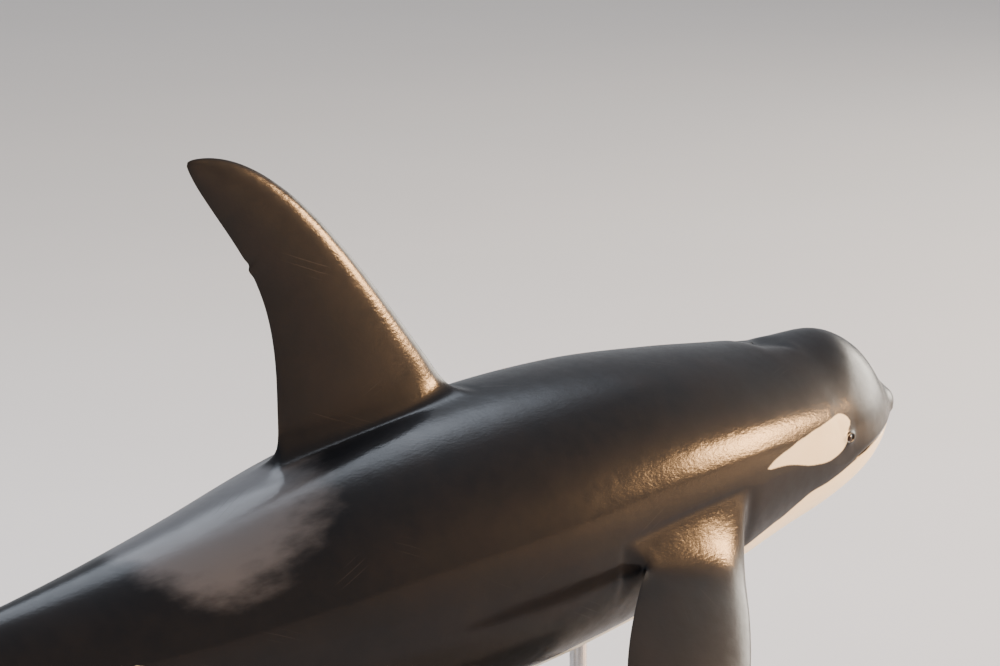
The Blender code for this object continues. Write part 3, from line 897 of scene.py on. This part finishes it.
def grow_eyelids(bm, layers, side):
    surface, outward, forward, upward = eye_frame(side)
    patch = Patch(bm, LID_FROM, LID_TO, lanes_between(7, MOUTH_LANE - LIP_GAP, side))
    for half_length, half_height, lift in LID_RINGS:

        def ring(turn):
            down = half_height * math.sin(turn) + LID_DROOP * math.sin(turn) ** 2
            ahead = half_length * math.cos(turn)
            return surface + forward * ahead - upward * down + outward * lift

        patch.raise_to(ring, {layers["fine"]: 1.0})


# %% [markdown]
# The blowhole is a crescent slit with its horns forward, sunk in the bowl behind the
# melon. It is closed with a muscular plug, so a rounded rim and a dark cleft show it.
# The rings get thin and level towards the horns, or they would bunch up there.

# %% Blowhole
SLIT_RADIUS = 0.05
SLIT_TURN = math.radians(150)
SLIT_FROM, SLIT_TO = 0.66, 0.82
SLIT_SQUARENESS = 0.8
HORN_GAP, HORN_LIFT, HORN_REACH = 0.25, 0.1, 0.6

# Half the gap, lift and share of the crescent's turn of each ring of the slit.
SLIT_RINGS = (
    (0.036, 0.000, 1.0),
    (0.020, 0.0035, 1.0),
    (0.0085, 0.0025, 0.97),
    (0.0045, -0.006, 0.86),
    (0.0035, -0.022, 0.76),
)


def grow_blowhole(bm, layers):
    centre = BLOWHOLE_BEHIND - SLIT_RADIUS / 2
    patch = Patch(bm, SLIT_FROM, SLIT_TO, range(-2, 3))
    for half_gap, lift, span in SLIT_RINGS:

        def ring(turn):
            swing = math.sin(turn)
            bend = SLIT_TURN / 2 * swing * span
            middle = math.cos(math.pi / 2 * swing)
            thin = half_gap * (HORN_GAP + (1 - HORN_GAP) * middle)
            reach = SLIT_RADIUS - thin * signed_power(math.cos(turn), SLIT_SQUARENESS)
            behind = centre + reach * math.cos(bend)
            side = reach * math.sin(bend) + HORN_REACH * half_gap * swing
            angle = math.asin(min(max(side / sizes_at(behind)[HALF_WIDTH], -1.0), 1.0))
            _, floor = section_point(behind, angle)
            return placed(behind, side, floor + lift * (HORN_LIFT + (1 - HORN_LIFT) * middle))

        patch.raise_to(ring, {layers["fine"]: 1.0})


# %% [markdown]
# ## Rounding the cage
#
# A Subdivision Surface pulls a cage inwards, so the skin would end up thinner than the
# solids. The place where each point settles can be worked out from its neighbours, so we
# push every point out by most of its shortfall, twice, and the smooth skin then passes
# through the places that we meant. A push has a longest length, because in a tight
# crotch a free one throws up spikes, and fine points get none at all.

# %% Push the cage out to meet its limit
ROUNDS = 2
PUSH_SHARE = 0.8
LONGEST_PUSH = 0.018


def settled_place(vert):
    """Where a point of the cage ends up on the subdivided surface."""
    n = len(vert.link_edges)
    near, far = Vector(), Vector()
    for edge in vert.link_edges:
        near += edge.other_vert(vert).co
    for loop in vert.link_loops:
        far += loop.link_loop_next.link_loop_next.vert.co
    return (n * n * vert.co + 4 * near + far) / (n * (n + 5))


def settle(bm, fine):
    """Pushes all points that aren't fine out to where they settle on the places they have."""
    verts = [vert for vert in bm.verts if not vert[fine]]
    targets = [vert.co.copy() for vert in verts]
    for _ in range(ROUNDS):
        moves = []
        for vert, target in zip(verts, targets):
            move = (target - settled_place(vert)) * PUSH_SHARE
            moves.append(move * min(1.0, LONGEST_PUSH / max(move.length, LONGEST_PUSH)))
        for vert, move in zip(verts, moves):
            vert.co += move
    print("largest last push:", round(max(move.length for move in moves) * 1000, 1), "mm")


# %% [markdown]
# Now the pieces come together: roll the tube, close it, weld the doubled points, grow
# everything out of it, push it out, turn the faces outwards and subdivide.

# %% Build the skin
WELD = 0.00002
SUBDIVISIONS = 2
MARK_NAMES = ("fin", "paddle", "fluke_out", "fluke_back", "fluke_under", "fine")
COUNT_NAMES = ("row", "lane", "slot")


def mesh_object(name, bm):
    """An object with the bmesh as its mesh. The bmesh is freed."""
    mesh = bpy.data.meshes.new(name)
    bm.to_mesh(mesh)
    bm.free()
    return link_object(name, mesh)


def skin_cage():
    bm = bmesh.new()
    bm.verts.layers.int.new("slot")
    layers = {name: bm.verts.layers.float.new(name) for name in MARK_NAMES}
    roll_tube(bm)
    add_cap(bm, snout_spot, 0)
    add_cap(bm, tail_spot, len(ROWS) - 1)
    bmesh.ops.remove_doubles(bm, verts=bm.verts, dist=WELD)
    grow_back_fin(bm, layers)
    grow_blowhole(bm, layers)
    for side in (1, -1):
        grow_eyelids(bm, layers, side)
        grow_flipper(bm, layers, side)
        grow_fluke(bm, layers, side)
    settle(bm, layers["fine"])
    bmesh.ops.recalc_face_normals(bm, faces=bm.faces)
    if bm.calc_volume(signed=True) < 0:
        bmesh.ops.reverse_faces(bm, faces=bm.faces)
    open_edges = sum(1 for edge in bm.edges if len(edge.link_faces) != 2)
    print("cage faces:", len(bm.faces), "open edges:", open_edges)
    return bm


def rounded_skin():
    skin = mesh_object("orca_skin", skin_cage())
    skin.data.shade_smooth()
    rounding = skin.modifiers.new("rounding", "SUBSURF")
    rounding.levels = rounding.render_levels = SUBDIVISIONS
    graph = bpy.context.evaluated_depsgraph_get()
    skin.data = bpy.data.meshes.new_from_object(skin.evaluated_get(graph))
    skin.modifiers.clear()
    skin.data.name = "orca_skin"
    print("skin:", len(skin.data.vertices), "points")
    return skin


skin = rounded_skin()

# %% [markdown]
# ## Markings
#
# Black above and white below with sharp borders is what everyone knows an orca by. Each
# marking is stored on the skin as one number a point: how many metres inside the marking
# it is, or how far outside if negative. The material then turns that distance into an
# edge as sharp or as soft as the real one, which a painted mask of this size could not.
# First every point's place along the spine is worked out from its position.

# %% Places of the skin's points along the spine


def places_of(points):
    """Arrays of behind, side and height for an array of points: placed() the other way."""
    x = points[:, 0] - SNOUT_TIP.x
    z = points[:, 2] - SNOUT_TIP.z
    behind = -x * math.cos(HEAD_PITCH) - z * math.sin(HEAD_PITCH)
    level = -x * math.sin(HEAD_PITCH) + z * math.cos(HEAD_PITCH)
    upright = Vector((-math.sin(HEAD_PITCH), 0.0, math.cos(HEAD_PITCH)))
    hub = axis_point(ARCH_START) + ARCH_RADIUS * upright
    to_hub_x = hub.x - points[:, 0]
    to_hub_z = hub.z - points[:, 2]
    pitch = np.arctan2(-to_hub_x, to_hub_z)
    bent = behind > ARCH_START
    behind = np.where(bent, ARCH_START + (HEAD_PITCH - pitch) * ARCH_RADIUS, behind)
    level = np.where(bent, ARCH_RADIUS - np.hypot(to_hub_x, to_hub_z), level)
    return behind, points[:, 1], level + TIP_HEIGHT


def read_values(items, key, width=1):
    values = np.zeros(len(items) * width)
    items.foreach_get(key, values)
    return values


def store_layer(name, values):
    layer = skin.data.attributes.new(name, "FLOAT", "POINT")
    layer.data.foreach_set("value", values.astype(np.float32))


behind, side, height = places_of(read_values(skin.data.vertices, "co", 3).reshape(-1, 3))
print("skin reaches", round(behind.max() - behind.min(), 3), "m along the spine")

# %% [markdown]
# The white of the underside starts at the lower lip, narrows between the flippers, and
# sends a lobe up each flank behind the back fin. Its upper border is a line of heights
# along the body, and each lobe is drawn as one thick stroke.

# %% White underside
WHITE_BORDER = (
    (0.00, -0.158), (0.12, -0.163), (0.25, -0.176), (0.42, -0.199), (0.52, -0.217),
    (0.60, -0.236), (0.70, -0.253), (0.85, -0.268), (1.00, -0.310), (1.30, -0.400),
    (1.60, -0.470), (2.00, -0.530), (2.60, -0.575), (3.20, -0.555), (3.60, -0.500),
    (4.03, -0.400), (4.50, -0.330), (4.90, -0.320), (5.10, -0.330), (5.40, -0.420),
)
LINE_STEPS = 261
LINE_SOFTENING = 5
LOBE_START, LOBE_END = np.array((3.35, -0.56)), np.array((4.52, -0.04))
LOBE_BEND = 0.10
LOBE_HALF_START, LOBE_HALF_END = 0.10, 0.085


def below_line(line, behind, height):
    """How far a place lies below a line of heights along the body, nearly at right angles."""
    steps = np.linspace(0.0, BODY_LENGTH, LINE_STEPS)
    levels = np.pad(np.interp(steps, *zip(*line)), LINE_SOFTENING // 2, "edge")
    levels = np.convolve(levels, np.full(LINE_SOFTENING, 1 / LINE_SOFTENING), "valid")
    slope = np.interp(behind, steps, np.gradient(levels, steps[1]))
    return (np.interp(behind, steps, levels) - height) / np.sqrt(1 + slope**2)


def inside_lobe(behind, height):
    """How far inside the flank lobe, whose middle line bends up towards the tail."""
    way = LOBE_END - LOBE_START
    length = math.hypot(*way)
    back, up = behind - LOBE_START[0], height - LOBE_START[1]
    along = (back * way[0] + up * way[1]) / length**2
    held = np.clip(along, 0.0, 1.0)
    off = (up * way[0] - back * way[1]) / length + LOBE_BEND * np.sin(math.pi * held)
    half = LOBE_HALF_START + (LOBE_HALF_END - LOBE_HALF_START) * held
    return half - np.hypot(off, (along - held) * length)


# %% [markdown]
# The white patch behind the eye is a long drop. It is blunt in front, where it hooks over
# the eye, and drawn out behind. Its outline is a smooth closed line through a few places,
# and how far inside it a point lies is measured to the nearest piece of that line. On the
# back, behind the fin, lies the saddle: a grey smoky patch with soft edges.

# %% Eye patch, saddle and flukes
EYE_PATCH = (
    (0.554, -0.030), (0.574, -0.002), (0.612, 0.017), (0.660, 0.023), (0.740, 0.019),
    (0.820, 0.013), (0.910, 0.004), (1.000, -0.008), (1.090, -0.024), (1.170, -0.044),
    (1.155, -0.054), (1.080, -0.062), (0.985, -0.087), (0.887, -0.125), (0.787, -0.150),
    (0.705, -0.152), (0.645, -0.142), (0.616, -0.120), (0.606, -0.090), (0.594, -0.062),
    (0.572, -0.046),
)
PATCH_REACH = 1.4
SADDLE_LOW = (
    (2.90, 0.80), (3.25, 0.62), (3.45, 0.44), (3.70, 0.28), (3.95, 0.19), (4.20, 0.22),
    (4.40, 0.40), (4.60, 0.80),
)
FLUKE_WHITE_END = 0.80
FLUKE_WHITE_FRONT, FLUKE_WHITE_BACK = 0.12, 0.86
UNDERSIDE_FROM = 0.02
FAR_OUTSIDE, NOT_WHITE, NOT_SADDLE = -1.0, -0.2, -0.5


def smooth_outline(corners, steps=6):
    """A closed line that runs smoothly through the corners, as an array of places."""
    corners = np.array(corners)
    line = []
    for i in range(len(corners)):
        a, b, c, d = np.roll(corners, 1 - i, axis=0)[:4]
        for t in np.arange(steps) / steps:
            bend = 2 * a - 5 * b + 4 * c - d + t * (3 * (b - c) + d - a)
            line.append(b + 0.5 * t * (c - a + t * bend))
    return np.array(line)


def inside_outline(line, behind, height):
    """How far inside a closed line each place is, or below 0 how far outside."""
    nearest = np.full(behind.shape, np.inf)
    crossed = np.zeros(behind.shape, dtype=bool)
    for start, end in zip(line, np.roll(line, -1, axis=0)):
        way = end - start
        back, up = behind - start[0], height - start[1]
        along = np.clip((back * way[0] + up * way[1]) / way.dot(way), 0.0, 1.0)
        nearest = np.minimum(nearest, np.hypot(back - along * way[0], up - along * way[1]))
        if way[1] != 0:
            spans = (start[1] > height) != (end[1] > height)
            crossed ^= spans & (back < way[0] * up / way[1])
    return np.where(crossed, nearest, -nearest)


def inside_eye_patch(behind, height):
    inside = np.full(behind.shape, FAR_OUTSIDE)
    near = behind < PATCH_REACH
    inside[near] = inside_outline(smooth_outline(EYE_PATCH), behind[near], height[near])
    return inside


def inside_fluke_white(out, back, under):
    """The white of the flukes' underside, which keeps a dark margin all round."""
    margin = 0.5 * np.minimum(back - FLUKE_WHITE_FRONT, FLUKE_WHITE_BACK - back)
    white = np.minimum(FLUKE_WHITE_END - out, margin)
    return np.where(under > UNDERSIDE_FROM, white, NOT_WHITE)


# %% [markdown]
# The fins are dark on all sides but one, so where a point's own layer says that it is on
# a fin, the fin's rule takes over. Two more numbers run along the body and round it, or
# out along a fin, as a ground for the scars.

# %% Store the markings
ON_FIN = 0.02
ROUND_REACH = 0.5
FLAT_STRETCH = 1.3
SADDLE_FADE, SADDLE_END = 4.0, 0.1

layers = skin.data.attributes
marked = {name: read_values(layers[name].data, "value") for name in MARK_NAMES}
on_paddle = marked["paddle"] > ON_FIN
on_fluke = marked["fluke_out"] > ON_FIN
on_back_fin = marked["fin"] > ON_FIN / 2
flat = on_paddle | on_fluke

white = np.maximum(below_line(WHITE_BORDER, behind, height), inside_lobe(behind, height))
white = np.maximum(white, inside_eye_patch(behind, height))
white = np.where(on_paddle | on_back_fin, NOT_WHITE, white)
fluke_white = inside_fluke_white(marked["fluke_out"], marked["fluke_back"], marked["fluke_under"])
white = np.where(on_fluke, fluke_white, white)
store_layer("white_inside", white)

saddle = -below_line(SADDLE_LOW, behind, height) - SADDLE_FADE * marked["fin"]
saddle = np.where(flat | (marked["fin"] > SADDLE_END), NOT_SADDLE, saddle)
store_layer("saddle_inside", saddle)

round_body = np.arctan2(side, height) * ROUND_REACH
crosswise = np.where(on_back_fin, height, round_body)
store_layer("lengthwise", np.where(flat, side * FLAT_STRETCH, behind))
store_layer("crosswise", np.where(flat, behind, crosswise))
for name in (*MARK_NAMES, *COUNT_NAMES):
    layers.remove(layers[name])
print("share of points in white:", round(float((white > 0).mean()), 3))

# %% [markdown]
# ## The skin's finish
#
# Orca skin is smooth, firm and rubbery, and wet here, so it has two layers of gloss: a
# faint one from the skin and a clearer one from the wet film on it, for which the
# shader's coat stands. The film follows the skin's low ripples and has a finer unrest of
# its own, which breaks up the glints. The black isn't even: two very dark tones drift
# into each other.
#
# Other orcas' teeth leave rakes: short groups of thin, pale, parallel lines. They follow
# the skin, so their pattern is drawn on two numbers that we stored at each point, the
# distance along the body and the distance round it. A band pattern gives the parallel
# lines, and soft noise picks the few places where a group shows.

# %% Skin colours and rake marks
BLACK = (0.0050, 0.0058, 0.0080)
BROWN_BLACK = (0.0086, 0.0082, 0.0096)
SADDLE_GREY = (0.15, 0.145, 0.15)
CREAM_WHITE = (0.90, 0.80, 0.57)
OLD_WHITE = (0.78, 0.66, 0.42)
RAKE_GREY = (0.050, 0.045, 0.043)
RAKE_SPACING = 0.030
RAKE_WIDTH = 0.10
RAKE_GROUPS = (2.2, 4.5, 1.0)


def rakes(look, skin_place, turn, seed):
    """Groups of thin parallel lines, as a share from 0 to 1."""
    moved = {"Rotation": (0.0, 0.0, turn), "Location": (seed, seed, 0.0)}
    turned = look.add("Mapping", Vector=skin_place, **moved).outputs[0]
    bands = look.add(
        "TexWave",
        {"wave_type": "BANDS", "bands_direction": "Y", "wave_profile": "SAW"},
        Vector=turned,
        Scale=2 * math.pi / (20 * RAKE_SPACING),
        Distortion=0.9,
        Detail=1.0,
        Detail_Scale=0.6,
    ).outputs["Fac"]
    away = look.maths("ABSOLUTE", look.maths("SUBTRACT", bands, 0.5))
    lines = look.remap(away, 0.0, RAKE_WIDTH, 1.0, 0.0)
    spots = look.grain(RAKE_GROUPS, 1.0, place=turned)
    return look.maths("MULTIPLY", lines, look.remap(spots, 0.66, 0.76))


# %% [markdown]
# The borders of the white are sharp, but they sway and fray a little, so soft and fine
# noise is added to the stored distance before it becomes an edge. The saddle's edge
# drifts far more, as smoke does.

# %% Skin material
SWAY, FRAY, DRIFT = 0.03, 0.004, 0.20
WHITE_EDGE = 0.004
SADDLE_EDGE = (-0.06, 0.12)
SADDLE_SHARE, RAKE_SHARE, STAIN_SHARE = 0.7, 0.35, 0.4
SMOKE_GRAIN = (4.0, 12.0, 12.0)
FILM_GRAIN = (45.0, 70.0, 70.0)
RIPPLE_HEIGHT, RAKE_HEIGHT, PORE_HEIGHT, FILM_HEIGHT = 0.006, -0.0008, 0.0006, 0.0016


def skin_colour(look, marks):
    sway, fray = look.shift(look.grain(5.0, 1.0), SWAY), look.shift(look.grain(90.0), FRAY)
    unrest = look.maths("ADD", sway, fray)
    white_inside = look.maths("ADD", look.attribute("white_inside"), unrest)
    drift = look.shift(look.grain(SMOKE_GRAIN, 5.0, 0.55), DRIFT)
    saddle_inside = look.maths("ADD", look.attribute("saddle_inside"), drift)
    saddle = look.maths("MULTIPLY", look.remap(saddle_inside, *SADDLE_EDGE), SADDLE_SHARE)

    dark = look.mix(look.remap(look.grain(3.5, 4.0, 0.55), 0.3, 0.75), BLACK, BROWN_BLACK)
    dark = look.mix(saddle, dark, SADDLE_GREY)
    dark = look.mix(look.maths("MULTIPLY", marks, RAKE_SHARE), dark, RAKE_GREY)
    stain = look.remap(look.grain(4.0, 6.0, 0.65), 0.42, 0.75)
    pale = look.mix(look.maths("MULTIPLY", stain, STAIN_SHARE), CREAM_WHITE, OLD_WHITE)
    return look.mix(look.remap(white_inside, -WHITE_EDGE, WHITE_EDGE), dark, pale)


def skin_material():
    look = Finish("orca_skin")
    ways = {"X": look.attribute("lengthwise"), "Y": look.attribute("crosswise")}
    skin_place = look.add("CombineXYZ", **ways).outputs[0]
    first, second = rakes(look, skin_place, 0.35, 3.1), rakes(look, skin_place, -0.5, 7.7)
    marks = look.maths("MAXIMUM", first, second)
    ripple = look.bump(look.grain(7.0, 2.0, 0.4), RIPPLE_HEIGHT, 0.25)
    scarred = look.bump(marks, RAKE_HEIGHT, 0.5, Normal=ripple)
    film = look.grain(FILM_GRAIN, 3.0, 0.6)
    return look.shade(
        Base_Color=skin_colour(look, marks),
        Roughness=look.remap(look.grain(18.0, 4.0), 0.3, 0.7, 0.44, 0.56),
        Normal=look.bump(look.grain(420.0), PORE_HEIGHT, 0.25, Normal=scarred),
        Specular_IOR_Level=0.05,
        Coat_Weight=0.50,
        Coat_Roughness=0.13,
        Coat_IOR=1.33,
        Coat_Normal=look.bump(film, FILM_HEIGHT, 0.5, Normal=ripple),
    )


skin.data.materials.clear()
skin.data.materials.append(skin_material())

FLESH = (
    "head", "lower_jaw", "chest", "midbody", "tail_front", "tail_stock", "dorsal_fin",
    "flipper_left", "flipper_right", "fluke_left", "fluke_right",
)
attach(skin, "root")
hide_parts(*FLESH)

# %% [markdown]
# ## Eyeballs
#
# The eye is dark brown with a black pupil and a dusky rim that hardly shows between the
# lids. A plain ball is enough, if it sits deep in the lids and its colour follows the
# distance from the axis that points outward.

# %% Eyeballs
IRIS_BROWN = (0.040, 0.019, 0.010)
IRIS_DARK = (0.013, 0.007, 0.005)
PUPIL = (0.002, 0.002, 0.003)
EYE_WHITE = (0.10, 0.085, 0.08)
IRIS_SHARE, IRIS_EDGE = 0.66, 0.06
PUPIL_SHARE, PUPIL_EDGE = 0.26, 0.04


def eye_material():
    look = Finish("orca_eye")
    reach = look.attribute("from_axis")
    flecks = look.remap(look.grain(900.0, 3.0, 0.7), 0.35, 0.65)
    iris = look.remap(reach, PUPIL_SHARE - PUPIL_EDGE, PUPIL_SHARE + PUPIL_EDGE)
    rim = look.remap(reach, IRIS_SHARE - IRIS_EDGE, IRIS_SHARE + IRIS_EDGE)
    inner = look.mix(iris, PUPIL, look.mix(flecks, IRIS_DARK, IRIS_BROWN))
    return look.shade(
        Base_Color=look.mix(rim, inner, EYE_WHITE),
        Roughness=0.12,
        Specular_IOR_Level=0.1,
        Coat_Weight=0.4,
        Coat_Roughness=0.02,
        Coat_IOR=1.33,
    )


def add_eyeball(name, side, material):
    surface, outward, _, _ = eye_frame(side)
    bm = bmesh.new()
    bmesh.ops.create_uvsphere(bm, u_segments=48, v_segments=32, radius=EYE_RADIUS)
    layer = bm.verts.layers.float.new("from_axis")
    turn = Vector((0, 0, 1)).rotation_difference(outward)
    for vert in bm.verts:
        vert[layer] = math.hypot(vert.co.x, vert.co.y) / EYE_RADIUS if vert.co.z > 0 else 1.0
        vert.co = surface - outward * EYE_SINK + turn @ vert.co
    ball = mesh_object(name, bm)
    ball.data.shade_smooth()
    ball.data.materials.append(material)
    return ball


eye_finish = eye_material()
for side_sign, word in ((1, "left"), (-1, "right")):
    ball = add_eyeball("eyeball_" + word, side_sign, eye_finish)
    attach(ball, "root")
    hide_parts("eye_" + word)

# %% [markdown]
# ## The stand's finish
#
# The stand's solids already have the right shape, so they keep their meshes and only get
# better materials: a satin powder coat for the base, which is a fine pebbled paint, and
# brushed steel for the rods, whose scratches run round the rod.

# %% Stand materials
PAINT_DARK, PAINT_LIGHT = (0.060, 0.062, 0.066), (0.075, 0.077, 0.081)
STEEL_DARK, STEEL_LIGHT = (0.50, 0.50, 0.51), (0.62, 0.62, 0.63)
BRUSHING_GRAIN = (25.0, 25.0, 1400.0)


def base_material():
    look = Finish("powder_coat")
    cloud = look.remap(look.grain(2.5, 3.0), 0.3, 0.7)
    return look.shade(
        Base_Color=look.mix(cloud, PAINT_DARK, PAINT_LIGHT),
        Roughness=look.remap(look.grain(60.0), 0.3, 0.7, 0.46, 0.58),
        Normal=look.bump(look.grain(700.0), 0.0008, 0.4),
    )


def steel_material():
    look = Finish("brushed_steel")
    brushing = look.grain(BRUSHING_GRAIN)
    return look.shade(
        Base_Color=look.mix(brushing, STEEL_DARK, STEEL_LIGHT),
        Roughness=look.remap(brushing, 0.3, 0.7, 0.26, 0.38),
        Normal=look.bump(brushing, 0.0002, 0.3),
        Metallic=1.0,
    )


steel = steel_material()
STAND = {"stand_base": base_material(), "stand_rod_front": steel, "stand_rod_rear": steel}
for name, material in STAND.items():
    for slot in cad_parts[name].material_slots:
        slot.material = material

# %% [markdown]
# ## Floor, light and air
#
# The floor is pale and so wide that its edge never comes into the picture.

# %% Floor
FLOOR_HALF = 260.0
FLOOR_DARK, FLOOR_LIGHT = (0.68, 0.68, 0.685), (0.72, 0.72, 0.725)


def floor_material():
    look = Finish("studio_floor")
    colour = look.mix(look.grain(0.4, 3.0), FLOOR_DARK, FLOOR_LIGHT)
    return look.shade(Base_Color=colour, Roughness=0.85, Specular_IOR_Level=0.15)


def add_floor():
    bm = bmesh.new()
    bmesh.ops.create_grid(bm, x_segments=8, y_segments=8, size=FLOOR_HALF)
    floor = mesh_object("floor", bm)
    floor.data.materials.append(floor_material())


add_floor()

# %% [markdown]
# The light is soft and comes from large boxes, as in a studio. A warm one stands low on
# the camera's side, towards the head, as an evening sun would: on wet skin it draws a
# glow along the flank and lights up the white patch. A pale one ahead of the snout gives
# the forehead its sheen, and a cool one overhead lights the back. Two of them stand far
# off, so that their light falls off evenly over the floor.
#
# A single lamp shows as a disc with a hard rim in a glossy skin. So each box is four
# round lamps of growing size, one close behind another, which together are bright in the
# middle and fade outwards.

# %% Lights
WARM = (1.0, 0.54, 0.22)
PALE = (1.0, 0.92, 0.80)
COOL = (0.80, 0.88, 1.0)
LIT_POINT = Vector((0.5, 0.0, 1.8))
LAYER_GAP = 0.02

# How much each layer has grown, and its share of the power.
BOX_LAYERS = ((0.75, 0.25), (1.0, 0.35), (1.25, 0.25), (1.55, 0.15))

# Azimuth and elevation in degrees, distance and size in metres, power in watts, colour.
SOFT_BOXES = {
    "warm_key": (58.0, 8.5, 26.0, (6.3, 3.9), 16500.0, WARM),
    "pale_front": (92.0, 10.0, 26.0, (18.5, 11.0), 8200.0, PALE),
    "cool_top": (150.0, 70.0, 14.0, (12.0, 9.0), 2400.0, COOL),
}


def add_soft_box(name, azimuth, elevation, distance, size, power, colour):
    """A soft box that is brightest in its middle: layers of growing size."""
    back = camera_axes(math.radians(azimuth), math.radians(elevation))[2]
    for layer, (growth, share) in enumerate(BOX_LAYERS):
        data = bpy.data.lights.new(f"{name}_{layer}", "AREA")
        data.shape = "ELLIPSE"
        data.size, data.size_y = size[0] * growth, size[1] * growth
        data.energy = power * share
        data.color = colour
        lamp = link_object(data.name, data)
        lamp.location = LIT_POINT + back * (distance + layer * LAYER_GAP)
        lamp.rotation_euler = (-back).to_track_quat("-Z", "Y").to_euler()


for name, settings in SOFT_BOXES.items():
    add_soft_box(name, *settings)

# %% [markdown]
# Between the boxes the skin mirrors the air around it, so that gets a pale, even glow.

# %% Air
AIR_COLOUR = (0.86, 0.88, 0.92, 1.0)
AIR_STRENGTH = 0.67

world = bpy.data.worlds.new("pale_air")
world.use_nodes = True
background = world.node_tree.nodes["Background"].inputs
background["Color"].default_value = AIR_COLOUR
background["Strength"].default_value = AIR_STRENGTH
bpy.context.scene.world = world
